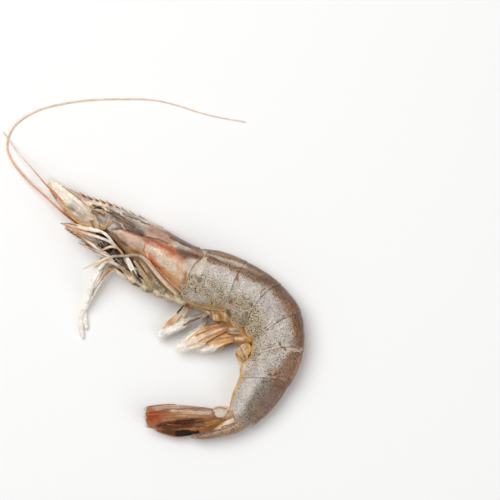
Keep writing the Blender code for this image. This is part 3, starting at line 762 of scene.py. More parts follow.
def build_flesh():
    """What shows under the shell: the limb-bearing underside of the head and the abdomen's soft belly."""
    strokes = [
        ("thorax brown", 1.0, 26, 10, [(128, 262), (145, 275), (160, 285)]),
        ("mouth", 0.9, 18, 8, [(98, 240), (112, 250), (124, 264), (134, 274)]),
        ("leg dark", 0.6, 1.6, 1.4, [(137, 261), (144, 275), (152, 288)]),
        ("tan", 0.6, 2.4, 2.0, [(142, 262), (150, 275), (160, 290)]),
        ("thorax olive", 0.9, 12, 6, [(136, 290), (152, 297), (170, 302), (186, 305)]),
        ("swim gold", 0.8, 18, 8, [(200, 310), (225, 318), (242, 330), (249, 352)]),
        ("gold", 0.6, 12, 8, [(244, 366), (238, 380), (230, 404)]),
    ]

    def place(along, across):
        station = FLESH_START + FLESH_LENGTH * along
        angle = across * FULL_TURN
        belly = smooth(-np.cos(angle), 0.72, 0.95) * smooth(station, 7, 9)
        bars = 0.25 * np.cos(station * math.pi) * belly
        squeeze = -0.9 - 2.5 * smooth(station, 1.2, 0.2) + 1.3 * belly + bars
        points = section_points(station, angle, squeeze, BELLY, 0.85)
        middle = (rows_at(BACK, station) + rows_at(BELLY, station)) / 2
        closing = np.minimum(smooth(along, 0, 0.012), 1 - smooth(along, 0.988, 1.0))
        centre = np.column_stack([middle, lift_at(station)])
        slim = np.where(station < 6.4, 0.80, 1.0)
        points[:, 2] = centre[:, 2] + (points[:, 2] - centre[:, 2]) * slim
        return centre + (points - centre) * closing[:, None]

    def paint(along, across, points):
        station = FLESH_START + FLESH_LENGTH * along
        belly = smooth(-np.cos(across * FULL_TURN), 0.72, 0.95) * smooth(station, 9, 11)
        colours = tinted(painted(points, "thorax brown", strokes), "membrane", 0.75 * belly)
        return tinted(colours, "low brown", 0.35 * belly * smooth(-np.cos(station * math.pi), 0.4, 0.9))

    return build_sheet("flesh", 220, 72, place, paint, LIMB, closed=True)


# Rostrum and head pieces

CREST = [(3.3, 14.2), (-7.2, 18.8), (-15.9, 22.6), (-23.0, 24.8), (-30.6, 28.3)]
CREST_TEETH = 9
CREST_TOOTH_PITCH = 2.95
CREST_FIRST_TOOTH = 4.6
CREST_LENGTH = 37.0


def build_rostrum():
    """The toothed blade over the head: teeth lean forwards, and a rib runs along each side."""
    def teeth(along):
        """How far into a tooth each place is, and whether there is one."""
        phase = (along * CREST_LENGTH - CREST_FIRST_TOOTH) / CREST_TOOTH_PITCH
        inside = (phase >= 0) & (phase < CREST_TEETH)
        return np.where(inside, phase % 1.0, 0.0), inside

    def place(along, across):
        line = rows_at(CREST, along * (len(CREST) - 1))
        ahead = rows_at(CREST, np.clip(along + 0.01, 0, 1) * (len(CREST) - 1))
        behind = rows_at(CREST, np.clip(along - 0.01, 0, 1) * (len(CREST) - 1))
        direction = (ahead - behind) / np.linalg.norm(ahead - behind, axis=1, keepdims=True)
        outward = np.column_stack([direction[:, 1], -direction[:, 0]])
        phase, inside = teeth(along)
        tooth = np.where(inside, 0.78 * phase**1.6, 0.0)
        depth = 3.0 * (1 - along) ** 0.75 + 0.12
        angle = across * FULL_TURN
        top = np.cos(angle) > 0
        reach = np.where(top, np.cos(angle) * (0.35 + tooth), np.cos(angle) * depth)
        thick = (0.62 * (1 - along) ** 0.5 + 0.1) * np.sin(angle)
        thick = thick * (1 + 0.6 * hump(reach, -0.9, 0.45))
        lean = np.where(top, np.cos(angle) * tooth * 0.55, 0.0)
        plane = line + outward * reach[:, None] + direction * lean[:, None]
        closing = 1 - smooth(along, 0.985, 1.0)
        middle = line - outward * (0.4 * depth)[:, None]
        plane = middle + (plane - middle) * closing[:, None]
        return np.column_stack([plane, lift_at(0.0)[0] + thick * closing])

    def paint(along, across, points):
        phase, inside = teeth(along)
        angle = across * FULL_TURN
        colours = painted(points, "cream", [
            ("head grey", 0.8, 20, 10, [(140, 222), (170, 240)]),
            ("seam", 0.6, 1.6, 1.2, [(70, 190.5), (80, 195.5), (92, 200)]),
            ("ridge", 0.5, 1.4, 1.2, [(68, 190), (80, 197), (92, 203)]),
            ("leg dark", 0.85, 2.0, 1.4, [(78, 200), (90, 204.5), (103, 209)]),
        ], 0.3)
        crown = smooth(np.cos(angle), -0.12, 0.3)
        colours = tinted(colours, "tan", 0.4 * crown)
        hollow = smooth(np.cos(angle), -0.30, -0.12) * hump(phase, 0.35, 0.32) * inside
        colours = tinted(colours, "dark brown", 0.92 * hollow)
        colours = tinted(colours, "cream", 0.6 * hump(np.cos(angle), -0.5, 0.12))
        colours = tinted(colours, "orange", 0.5 * crown * smooth(phase, 0.75, 1.0) * inside)
        colours = tinted(colours, "seam", 0.35 * crown * (1 - inside))
        colours = streaked(colours, along, across, [(6, "ridge", 0.25)])
        return colours

    return build_sheet("rostrum", 420, 28, place, paint, SHELL, closed=True)


def path_frames(path, share, facing=UP):
    """A path's points and directions at shares of its length, and the unit vectors across it."""
    path = np.asarray(path, float)
    station = share * (len(path) - 1)
    ahead = rows_at(path, np.minimum(station + 0.02, len(path) - 1))
    behind = rows_at(path, np.maximum(station - 0.02, 0))
    direction = (ahead - behind) / np.linalg.norm(ahead - behind, axis=1, keepdims=True)
    sideways = np.cross(facing, direction)
    sideways /= np.linalg.norm(sideways, axis=1, keepdims=True)
    return rows_at(path, station), direction, sideways, np.cross(direction, sideways)


def rounded(distance, length):
    """Half a circle's outline for an end: 0 at the end, 1 from `length` on."""
    return np.sqrt(np.clip(1 - np.clip(1 - distance / length, 0, 1) ** 2, 0, 1))


def tube_points(points, sideways, normal, across, width, depth):
    """Points round a path: width sideways and depth along its normal."""
    angle = across * FULL_TURN
    return points + sideways * (width * np.cos(angle))[:, None] + normal * (depth * np.sin(angle))[:, None]


def build_leaf(name, path, widths, facing, paint, camber=0.0, ribs=(), tip=0.06, thickness=0.28,
               columns=60, rows=24, heel=0.03):
    """A leaf-shaped blade along a path: `facing` is the way its face looks, and ribs stand along it."""
    def place(along, across):
        points, _, sideways, normal = path_frames(path, along, facing)
        width = rows_at(widths, along * (len(widths) - 1))[:, 0]
        rounding = rounded(1 - along, tip) * rounded(along, heel)
        offset = (across - 0.5) * width * np.maximum(rounding, 0.02)
        side = (across - 0.5) * 2
        rise = camber * (1 - side**2) * width / 2
        for middle, height, breadth in ribs:
            rise = rise + height * hump(side, middle, breadth) * (1 - 0.7 * along)
        rise = rise + 0.05 * ripple(np.column_stack([along * 30, side * 4]), 5.0, len(name))
        return points + sideways * offset[:, None] + normal * rise[:, None]

    return build_sheet(name, columns, rows, place, paint, LEAF, thickness=thickness)


def build_limb(name, path, radii, paint, columns_each=14, around=16, pinch=0.16, flatten=1.0, tip_close=0.06,
               material=LIMB, **labels):
    """A jointed tube along a path, pinched at its joints, with rounded ends."""
    joints = len(path) - 1

    def place(along, across):
        points, _, sideways, normal = path_frames(path, along)
        station = along * joints
        near_joint = np.abs(station - np.round(station))
        inner = (station > 0.5) & (station < joints - 0.5)
        radius = rows_at(radii, station)[:, 0] * (1 - pinch * hump(near_joint, 0, 0.07) * inner)
        radius = radius * (1 + 0.5 * pinch * hump(near_joint, 0.16, 0.07) * inner)
        radius = radius * rounded(1 - along, tip_close) * smooth(along, -0.001, 0.01)
        return tube_points(points, sideways, normal, across, radius, radius * flatten)

    return build_sheet(name, columns_each * joints, around, place, paint, material, closed=True, **labels)


BRISTLE_SIDES = 3
BRISTLE_STEPS = 5
BRISTLE_RADIUS = 0.05
BRISTLE_FACING = (0.05, 0.02, 1.0)


def build_bristles(name, strands, swatch_root, swatch_tip):
    """Fine bristles: each strand is a path of three points and a root radius."""
    form = bmesh.new()
    form.loops.layers.uv.new("UVMap")
    paint_layer = form.verts.layers.float_color.new("paint")
    form.verts.layers.float.new("specks")
    root, tip = linear(SWATCHES[swatch_root][:3]), linear(SWATCHES[swatch_tip][:3])
    for path, radius in strands:
        made, along, across = add_grid(form, BRISTLE_STEPS, BRISTLE_SIDES)
        points, _, sideways, normal = path_frames(path, along, BRISTLE_FACING)
        width = radius * (1 - 0.85 * along)
        points = tube_points(points, sideways, normal, across, width, width)
        for vert, point, share in zip(made, points, along):
            vert.co = Vector(point) * MM
            vert[paint_layer] = (*(root + (tip - root) * share), 1.0)
        bmesh.ops.remove_doubles(form, verts=made, dist=WELD)
    open_ends = [edge for edge in form.edges if edge.is_boundary]
    bmesh.ops.holes_fill(form, edges=open_ends, sides=BRISTLE_SIDES)
    bmesh.ops.recalc_face_normals(form, faces=form.faces)
    return finish_piece(name, form, BRISTLE)


def fringe(path, widths, facing, from_share, side, reach, spacing, sweep=0.6, tip=0.06):
    """Strands along one edge of a leaf, swept towards its tip."""
    strands = []
    count = int(np.linalg.norm(np.diff(np.asarray(path, float), axis=0), axis=1).sum() / spacing)
    for share in np.linspace(from_share, 1.0, count):
        points, direction, sideways, _ = path_frames(path, np.array([share]), facing)
        edge = sideways[0] * side
        width = rows_at(widths, share * (len(widths) - 1))[0, 0]
        start = points[0] + edge * width / 2 * rounded(1 - share, tip)
        out = edge * (1 - sweep) + direction[0] * sweep
        out = out / np.linalg.norm(out) * reach * NOISE.uniform(0.7, 1.15)
        bend = direction[0] * 0.25 * np.linalg.norm(out)
        strands.append(([start, start + out * 0.55, start + out + bend], BRISTLE_RADIUS))
    return strands


def both_fringes(path, widths, facing, from_share, reach, spacing, **bent):
    """Strands along both edges of a leaf."""
    return [strand for side in (-1, 1)
            for strand in fringe(path, widths, facing, from_share, side, reach, spacing, **bent)]


def stroke_paint(ground, strokes, wobble=0.6, streaks=()):
    """A paint function: a ground swatch with strokes, and streaks over them."""
    def paint(along, across, points):
        return streaked(painted(points, ground, strokes, wobble), along, across, streaks)

    return paint


def graded_paint(stops, strokes=(), wobble=0.5, streaks=(), tip_plain=0.0, edges=0.0):
    """A paint function: swatches at (share, swatch) stops from root to tip, under streaks and strokes."""
    def paint(along, across, points):
        plain = graded(along, stops)
        colours = streaked(plain, along, across, streaks)
        colours = colours + (plain - colours) * (tip_plain * smooth(along, 0.35, 0.6))[:, None]
        colours = stroked(colours, points, strokes, wobble)
        edge = 1 - smooth(np.abs(np.sin(across * FULL_TURN)), 0.1, 0.5)
        patchy = 0.5 + 0.5 * ripple(np.column_stack([along * 60, across * 4]), 5.0, 80)
        return tinted(colours, "ridge", edges * edge * patchy)

    return paint


HEAD_HEIGHT = float(lift_at(0.0)[0])
EYE = (-19.2, 20.5)
SCALE_PATH = [(-18.6, 15.4), (-21.4, 16.9), (-24.0, 18.7), (-27.0, 21.8), (-31.6, 26.5), (-36.0, 31.4)]
SCALE_WIDTHS = [4.6, 6.0, 6.8, 6.3, 4.1, 1.7]
SCALE_FACING = (0.15, -0.25, 1.0)
SCALE_STROKES = [
    ("scale tan", 0.85, 14, 8, [(88, 226), (78, 220)]),
    ("scale grey", 0.75, 6, 5, [(71, 207), (78, 212), (85, 216)]),
    ("seam", 0.5, 1.2, 1.0, [(64, 192), (76, 202), (88, 212)]),
    ("scale tan", 0.8, 4, 3, [(60, 202), (70, 214), (80, 225)]),
    ("swim cream", 0.8, 2.2, 1.4, [(62, 190), (76, 201), (90, 212)]),
    ("seam light", 0.7, 1.4, 1.0, [(66, 196), (78, 206), (88, 214)]),
    ("leg dark", 0.5, 2.0, 1.8, [(71, 208), (74, 210)]),
    ("cream", 0.9, 1.2, 1.0, [(74, 213), (79, 216)]),
    ("cream", 0.8, 1.1, 0.9, [(79, 210), (83, 214)]),
    ("scale grey", 0.35, 1.0, 0.8, [(62, 196), (76, 207), (86, 215)]),
    ("orange", 0.95, 2.6, 1.6, [(46, 186), (52, 191), (58, 198), (61, 201)]),
    ("hinge", 0.7, 1.3, 1.0, [(57, 181), (66, 188), (78, 198), (88, 206)]),
    ("scale tan", 0.8, 6, 4, [(87, 205), (91, 213), (90, 222)]),
    ("gold", 0.9, 1.7, 1.2, [(60, 200), (66, 207), (71, 216), (77, 224), (84, 229)]),
]


BASE_STROKES = [
    ("tan", 0.45, 4, 3, [(89, 211), (96, 213)]),
    ("gold", 0.5, 1.3, 1.0, [(88, 207), (95, 210), (103, 212)]),
    ("groove", 0.5, 2.0, 1.6, [(92, 212), (98, 215)]),
    ("seam light", 0.7, 4, 3, [(94, 217), (99, 222)]),
    ("groove", 0.4, 1.6, 1.4, [(97, 216), (103, 222)]),
    ("scale tan", 0.7, 5, 4, [(96, 227), (103, 227)]),
    ("hinge", 0.6, 1.6, 1.2, [(104, 211), (106, 216)]),
    ("gold", 0.85, 2.4, 1.6, [(111, 221), (107, 223), (103, 227), (101, 230)]),
    ("hinge", 0.9, 2.2, 1.4, [(91, 213), (91.5, 220), (94, 229)]),
    ("gold", 0.8, 1.4, 1.2, [(93, 214), (94, 221), (97, 229)]),
    # a painted highlight: a small white glint on the antenna base
    ("leg white", 0.7, 2.4, 2.0, [(106, 218), (108, 219)]),
    ("leg dark", 0.7, 1.6, 1.2, [(99, 212), (103, 216), (108, 219)]),
    ("hinge", 0.7, 1.4, 1.2, [(96, 215), (100, 222), (101, 228)]),
    ("groove", 0.8, 1.1, 0.9, [(88, 208), (96, 211.5), (105, 216)]),
]


EYE_STROKES = [
    ("leg dark", 0.9, 1.8, 1.4, [(79, 200.5), (86, 203.5)]),
    ("leg dark", 0.9, 2.2, 1.4, [(93, 205.5), (103, 209)]),
]


def build_head_pieces():
    """Eyes, the antennae's bases, their leaf-shaped scales, and the antennules between them."""
    for side_name, side in SIDES.items():
        def at(x, y, out):
            return (x, y, HEAD_HEIGHT + side * out)

        ball = bmesh.new()
        bmesh.ops.create_uvsphere(ball, u_segments=40, v_segments=24, radius=1.7 * MM)
        bmesh.ops.translate(ball, vec=Vector(at(*EYE, 3.3)) * MM, verts=ball.verts)
        finish_piece(f"eye_{side_name}", ball, EYE_BLACK)
        build_limb(f"eye_stalk_{side_name}",
                   [at(-14.8, 18.4, 1.2), at(-17.2, 19.4, 2.4), at(-18.8, 20.0, 3.0)],
                   [1.3, 1.2, 1.35], graded_paint([(0, "scale tan"), (0.8, "groove"), (1, "groove")]))
        base_paint = stroke_paint("scale grey", BASE_STROKES, streaks=[(5, "seam light", 0.35)])
        build_limb(f"antenna_base_{side_name}",
                   [at(-14.4, 16.2, 3.0), at(-16.6, 17.0, 3.8), at(-19.0, 18.0, 4.2), at(-21.4, 18.6, 4.0)],
                   [1.9, 2.5, 2.2, 1.2], base_paint, columns_each=22, around=36, pinch=0.08, flatten=0.8)
        build_limb(f"antenna_knuckle_{side_name}",
                   [at(-16.6, 14.8, 3.6), at(-18.8, 15.4, 4.4), at(-21.0, 15.6, 4.6), at(-23.0, 16.2, 4.2)],
                   [1.2, 1.8, 1.7, 0.9], base_paint, columns_each=22, around=36, pinch=0.1, flatten=0.8)
        build_limb(f"eye_cover_{side_name}",
                   [at(-15.6, 18.2, 4.0), at(-17.8, 19.6, 4.6), at(-20.4, 19.9, 4.7), at(-22.6, 19.4, 4.2)],
                   [0.8, 1.05, 1.15, 0.6], stroke_paint("scale tan", BASE_STROKES + EYE_STROKES),
                   columns_each=16, around=24, flatten=0.7)
        build_limb(f"antenna_stub_{side_name}",
                   [at(-20.4, 15.6, 4.2), at(-22.4, 15.3, 5.2), at(-24.4, 15.7, 5.8)], [0.9, 0.8, 0.5],
                   stroke_paint("scale tan", [
                       ("gold", 0.8, 3, 3, [(90, 226)]),
                       ("whip root", 0.8, 3, 2, [(78, 224)]),
                   ]))
        build_limb(f"antennule_stem_{side_name}",
                   [at(-15.2, 19.2, 1.4), at(-18.4, 20.8, 1.9), at(-21.4, 22.2, 2.6), at(-24.4, 23.4, 3.0)],
                   [1.0, 1.35, 1.15, 0.7], stroke_paint("cream", EYE_STROKES + [
                       ("tan", 0.6, 1.3, 1.0, [(88, 206), (96, 209), (103, 213)]),
                       ("cream", 0.7, 2.4, 2, [(84, 206), (92, 212)]),
                       ("hinge", 0.6, 1.4, 1.2, [(90, 209), (96, 214), (100, 218)]),
                   ]), flatten=0.7)
        for whip, (turn, radius) in enumerate(((0.0, 0.42), (0.8, 0.34))):
            build_limb(f"antennule_whip_{side_name}_{whip + 1}",
                       [at(-23.4, 22.7 + 0.3 * turn, 3.8), at(-26.4, 24.3 + turn, 3.4),
                        at(-29.2, 26.2 + turn * 1.1, 2.8), at(-32.0, 28.9 + turn * 0.4, 2.2)],
                       [radius, radius, radius * 0.8, 0.1],
                       graded_paint([(0, "scale tan"), (0.5, "orange"), (1, "cream")]), around=10)
        shift = (0.0, 0.0) if side > 0 else (-0.9, -1.6)
        path = [(x + shift[0], y + shift[1], HEAD_HEIGHT + side * out)
                for (x, y), out in zip(SCALE_PATH, (4.4, 4.5, 4.5, 4.3, 3.7, 3.0))]
        facing = (SCALE_FACING[0], SCALE_FACING[1] * side, 1.0)
        paint = stroke_paint("scale white", SCALE_STROKES, streaks=[(9, "scale tan", 0.22)])
        if side < 0:
            paint = stroke_paint("cream", [
                ("window tan", 0.5, 4, 4, [(50, 192), (58, 204), (68, 215)]),
                ("groove", 0.5, 3, 3, [(48, 190), (55, 199)]),
                ("scale white", 0.6, 4, 4, [(55, 190), (70, 205)]),
            ])
        build_leaf(f"scale_{side_name}", path, SCALE_WIDTHS, facing, paint, camber=0.16,
                   ribs=[(0.92, 0.5, 0.09), (0.6, 0.12, 0.05), (0.3, 0.14, 0.05),
                         (0.0, 0.14, 0.05), (-0.3, 0.12, 0.05), (-0.6, 0.1, 0.05)],
                   columns=110, rows=48, tip=0.10)
        build_bristles(f"scale_fringe_{side_name}",
                       fringe(path, SCALE_WIDTHS, facing, 0.45, -1, 1.9, 0.32, sweep=0.8, tip=0.10)
                       + fringe(path, SCALE_WIDTHS, facing, 0.86, 1, 1.4, 1.5, sweep=0.9, tip=0.10),
                       "cream", "scale white")


# Limbs under the head

# For each limb: its path, its thicknesses, its colours from root to tip, its strokes
LEFT_LIMBS = {
    "jaw_foot": (
        [(-12.4, 7.2, 8.4), (-14.0, 9.0, 10.4), (-17.3, 12.6, 11.4), (-24.8, 14.6, 10.8),
         (-32.6, 16.0, 9.4)],
        [0.5, 0.5, 0.55, 0.95, 0.2],
        [(0, "leg white"), (0.3, "leg cream"), (0.6, "leg cream"), (0.8, "cream"), (1, "orange")],
        [("orange", 0.7, 1.4, 1.2, [(62, 225), (80, 229.5), (92, 232.5), (102, 233)]),
         ("leg dark", 0.8, 1.3, 1.0, [(66, 223), (77, 225.5)])],
    ),
    "jaw_palp_1": (
        [(-12.4, 5.4, 8.0), (-14.6, 9.0, 10.4), (-18.4, 10.9, 10.8), (-23.0, 12.3, 10.6),
         (-31.4, 15.2, 9.0)],
        [0.4, 0.45, 0.5, 0.55, 0.12],
        [(0, "scale tan"), (0.3, "leg cream"), (0.7, "cream"), (1, "orange")],
        [("leg dark", 0.7, 1.2, 1.0, [(68, 229), (80, 236), (90, 240)])],
    ),
    "jaw_palp_2": (
        [(-11.6, 2.6, 8.0), (-16.0, 4.8, 10.0), (-19.4, 7.2, 10.2), (-23.0, 9.8, 10.0), (-27.6, 13.0, 9.2)],
        [0.6, 0.75, 0.85, 0.7, 0.12],
        [(0, "scale grey"), (0.4, "leg white"), (0.7, "leg white"), (0.86, "tan"), (1, "orange")],
        [("leg dark", 0.7, 1.2, 1.0, [(82, 239), (92, 247), (104, 255)]),
         ("leg dark", 0.6, 1.2, 1.0, [(78, 233), (90, 241), (104, 251)])],
    ),
    "leg_1": (
        [(-2.5, -6.6, 9.2), (-9.5, -2.9, 9.4), (-15.0, -0.3, 8.8), (-19.0, -5.2, 6.4), (-23.4, -12.4, 3.2),
         (-25.5, -17.5, 1.4), (-25.0, -24.5, 0.9)],
        [0.95, 0.75, 0.65, 0.65, 0.85, 0.95, 0.75],
        [(0, "leg green"), (0.25, "leg white"), (0.36, "tan"), (0.5, "leg cream"), (1, "leg cream")],
        [("leg dark", 0.6, 1.0, 1.0, [(112, 269), (105, 275), (98, 285), (92, 295)])],
    ),
    "leg_2": (
        [(1.0, -7.4, 10.2), (-8.5, -1.4, 10.6), (-15.8, 2.6, 10.2), (-20.2, -2.5, 8.4), (-22.1, -7.2, 6.4),
         (-23.4, -11.8, 5.0)],
        [0.95, 0.65, 0.6, 0.8, 1.05, 0.55],
        [(0, "leg green"), (0.3, "leg white"), (0.4, "leg white"), (0.5, "leg cream"), (1, "leg cream")],
        [("leg dark", 0.45, 1.2, 1.0, [(109, 262), (100, 271)])],
    ),
    "leg_3": (
        [(4.0, -8.2, 10.8), (-3.0, -2.4, 10.6), (-8.6, 1.6, 10.4), (-10.8, 5.4, 11.4), (-12.8, 7.5, 12.0),
         (-15.6, 7.6, 11.8), (-19.8, 5.6, 10.4)],
        [1.1, 0.9, 0.6, 0.42, 0.42, 0.42, 0.2],
        [(0, "leg green"), (0.3, "leg white"), (0.5, "scale tan"), (0.66, "swim orange"), (0.8, "cream"),
         (1, "orange")],
        # the second dark stroke is painted shade in the gap between the legs
        [("leg dark", 0.8, 2.0, 1.6, [(137, 271), (141, 280)]),
         ("leg dark", 0.8, 2, 2, [(132, 284), (139, 288)])],
    ),
    "leg_4": (
        [(6.4, -9.4, 9.4), (-2.0, -2.6, 9.0), (-9.6, 2.0, 8.8), (-17.0, 4.6, 10.4), (-26.4, 9.4, 8.8)],
        [1.1, 0.85, 0.65, 0.75, 0.2],
        [(0, "leg green"), (0.35, "leg green"), (0.5, "leg white"), (0.8, "leg cream"), (1, "orange")],
        # the first dark stroke is painted shade in the gap between the legs
        [("leg dark", 0.7, 2, 1.6, [(149, 274), (155, 286)]),
         ("leg dark", 0.7, 1.6, 1.2, [(90, 248), (106, 257)])],
    ),
    "leg_5": (
        [(9.6, -10.2, 8.6), (2.9, -3.4, 12.7), (-3.8, 4.2, 13.3), (-10.0, 4.6, 12.6), (-15.9, 3.9, 11.6),
         (-25.0, -0.2, 9.0)],
        [0.9, 0.8, 0.6, 0.48, 0.45, 0.24],
        [(0, "thorax olive"), (0.1, "pale band"), (0.38, "pale band"), (0.44, "leg green"),
         (0.7, "leg green"), (0.85, "cream"), (1, "cream")],
        [("tan", 0.8, 1.4, 1.0, [(147, 261), (153, 266), (163, 277), (174, 290)])],
    ),
}
# Marks in the bundle of legs under the head: dark joints, and dark blotches that are painted shade in the
# gaps between the legs and plates
BUNDLE_MARKS_AND_SHADE = [
    ("mouth", 0.75, 3.4, 2.6, [(135, 284), (139, 287)]),
    ("mouth", 0.7, 3, 2.4, [(147, 290), (152, 291)]),
    ("leg dark", 0.7, 2.4, 2.0, [(149, 273), (152, 279)]),
    ("leg dark", 0.6, 2.4, 2.0, [(155, 284), (158, 288)]),
    ("mouth", 0.8, 2.6, 2.0, [(134, 272), (138, 278), (141, 282)]),
    ("thorax brown", 0.7, 5, 4, [(120, 267), (130, 274)]),
    ("tan", 0.6, 3, 2.4, [(138, 262), (144, 272), (152, 284)]),
    ("thorax olive", 0.6, 6, 5, [(150, 294), (166, 300), (178, 302)]),
    ("leg dark", 0.4, 1.4, 1.2, [(110, 266), (116, 272)]),
    ("hinge", 0.5, 1.2, 1.0, [(166, 290), (172, 298)]),
]
# How far a right limb's tip lies from the left one's across the floor, and how far the limb sags
RIGHT_LIMB_SHIFT = {
    "jaw_foot": (1.6, -2.0, 2.4),
    "jaw_palp_1": (2.0, -2.4, 1.6),
    "jaw_palp_2": (2.4, -2.0, 1.2),
    "leg_1": (1.4, 3.2, 0.0),
    "leg_2": (2.4, 3.0, 0.0),
    "leg_3": (0.4, -2.6, 0.0),
    "leg_4": (2.4, -0.6, 0.0),
    "leg_5": (3.4, 0.8, 0.0),
}
LIMB_LOWEST = 0.9


def build_limbs():
    """The jaw feet and walking legs; the right ones start at the other flank and come down to the floor."""
    for name, (path, radii, stops, strokes) in LEFT_LIMBS.items():
        paint = graded_paint(stops, strokes + BUNDLE_MARKS_AND_SHADE,
                             streaks=[(2, "tan", 0.5), (3, "leg dark", 0.28)], tip_plain=0.9, edges=0.6)
        build_limb(f"{name}_left", path, radii, paint, around=24, pinch=0.07)
        dx, dy, sag = RIGHT_LIMB_SHIFT[name]
        root_height = 2 * float(lift_at(3)[0]) - path[0][2]
        drooping = []
        for i, (x, y, _) in enumerate(path):
            share = i / (len(path) - 1)
            drop = sag * math.sin(math.pi * share)
            drooping.append((x + dx * share, y + dy * share - drop,
                             root_height + (LIMB_LOWEST - root_height) * share))
        build_limb(f"{name}_right", drooping, radii, paint, around=24, pinch=0.07)


def build_leg_plates():
    """Short flat segments that lie between the leg bases and the edge of the carapace."""
    plates = [
        [(127, 257, 5.0), (130, 264, 5.4), (134, 272, 5.4), (138, 279, 4.6)],
        [(134, 260, 4.9), (141, 270, 5.4), (148, 281, 5.4), (154, 290, 4.4)],
        [(141, 262, 5.1), (149, 273, 5.6), (157, 284, 5.4), (165, 295, 4.4)],
        [(122, 268, 3.6), (128, 275, 4.1), (134, 281, 4.3), (141, 287, 3.8)],
    ]
    radii = [[0.6, 0.95, 0.85, 0.5], [0.4, 0.7, 0.85, 0.6], [0.4, 0.7, 0.8, 0.6], [0.5, 0.75, 0.85, 0.6]]
    grounds = ["leg cream", "thorax olive", "leg green", "leg white"]
    for side_name, side in SIDES.items():
        for number, (places, sizes, ground) in enumerate(zip(plates, radii, grounds), 1):
            path = spots_at([(u, v, float(lift_at(3)[0]) + side * out) for u, v, out in places])
            paint = stroke_paint(ground, BUNDLE_MARKS_AND_SHADE, streaks=[(2, "tan", 0.55), (3, "leg dark", 0.3)])
            build_limb(f"leg_plate_{number}_{side_name}", path, sizes, paint,
                       around=24, pinch=0.05, flatten=0.7, tip_close=0.15)
        for number, (u, v) in enumerate([(134, 281), (146, 288), (158, 293), (169, 297), (179, 300.5)], 1):
            middle = float(lift_at(4)[0])
            path = spots_at([(u - 6, v - 4, middle + 3.0 * side), (u, v, middle + 3.6 * side),
                             (u + 7, v + 3, middle + 3.2 * side)])
            paint = stroke_paint("thorax olive", BUNDLE_MARKS_AND_SHADE,
                                 streaks=[(3, "leg white", 0.5), (2, "tan", 0.5)])
            build_limb(f"leg_base_{number}_{side_name}", path, [0.7, 1.45, 0.8], paint,
                       around=24, pinch=0.0, tip_close=0.2)


JAW_STROKES = [("thorax brown", 0.5, 5, 5, [(118, 262), (128, 268)])]
JAW_BRISTLES = 34
JAW_FOOT_EDGE = [(-30.5, 14.6, 8.6), (-25.2, 10.8, 8.8), (-20.4, 6.6, 8.6), (-15.2, 3.2, 8.0)]
JAW_FOOT_BRISTLES = 150
JAW_FOOT_BRISTLE_RADIUS = 0.09


def build_jaws():
    """The dark jaw mass between the limbs, with pale bristles over it and dark ones along the jaw feet."""
    lumps = [
        ((-15.6, 8.4, 6.6), (4.2, 2.8, 4.0)), ((-12.2, 4.6, 7.0), (3.8, 3.2, 4.7)),
        ((-9.4, 0.4, 7.6), (3.0, 3.0, 3.5)), ((-18.4, 11.4, 6.4), (2.4, 1.8, 3.2)),
    ]
    for number, (middle, radii) in enumerate(lumps, 1):
        form = bmesh.new()
        form.loops.layers.uv.new("UVMap")
        bmesh.ops.create_uvsphere(form, u_segments=40, v_segments=24, radius=1.0)
        spots = np.array([vert.co[:] for vert in form.verts])
        bumps = 1 + 0.10 * ripple(spots[:, :2] * 3, 1.6, number)
        points = np.array(middle) + spots * bumps[:, None] * np.array(radii)
        dress(form, points, painted(points, "mouth", JAW_STROKES))
        face_outwards(form)
        finish_piece(f"jaw_{number}", form, LIMB)
    strands = []
    for _ in range(JAW_BRISTLES):
        share = NOISE.uniform(0, 1)
        x, y = -19.6 + 11.0 * share, 10.8 - 11.0 * share + NOISE.uniform(-1.6, 1.6)
        z = 10.4 + 1.5 * math.sin(math.pi * share) + NOISE.uniform(-0.5, 0.4)
        long = NOISE.uniform(1.6, 3.6)
        way = np.array([-0.62 + NOISE.uniform(-0.2, 0.2), 0.74, NOISE.uniform(-0.12, 0.12)])
        start = np.array([x, y, z])
        middle = start + way * long * 0.5 + [0, 0, 0.2]
        strands.append(([start, middle, start + way * long], BRISTLE_RADIUS))
    build_bristles("jaw_bristles", strands, "cream", "scale white")
    strands = []
    for share in np.linspace(0.02, 0.98, JAW_FOOT_BRISTLES):
        points, directions, _, _ = path_frames(JAW_FOOT_EDGE, np.array([share]))
        direction = directions[0]
        start = points[0] + NOISE.normal(0, 0.25, 3)
        down = np.array([direction[1], -direction[0], 0.0])
        down = down if down[1] < 0 else -down
        way = down * 0.6 - direction * 0.8 + np.array([0, 0, NOISE.uniform(-0.5, 0.4)])
        long = 1.2 * NOISE.uniform(0.5, 1.2) * (0.5 + 0.5 * math.sin(math.pi * share))
        middle = start + way * long * 0.5
        strands.append(([start, middle, start + way * long + [-0.3, 0.1, 0]], JAW_FOOT_BRISTLE_RADIUS))
    build_bristles("jaw_foot_bristles", strands, "mouth", "leg dark")


# Swimmerets and tail

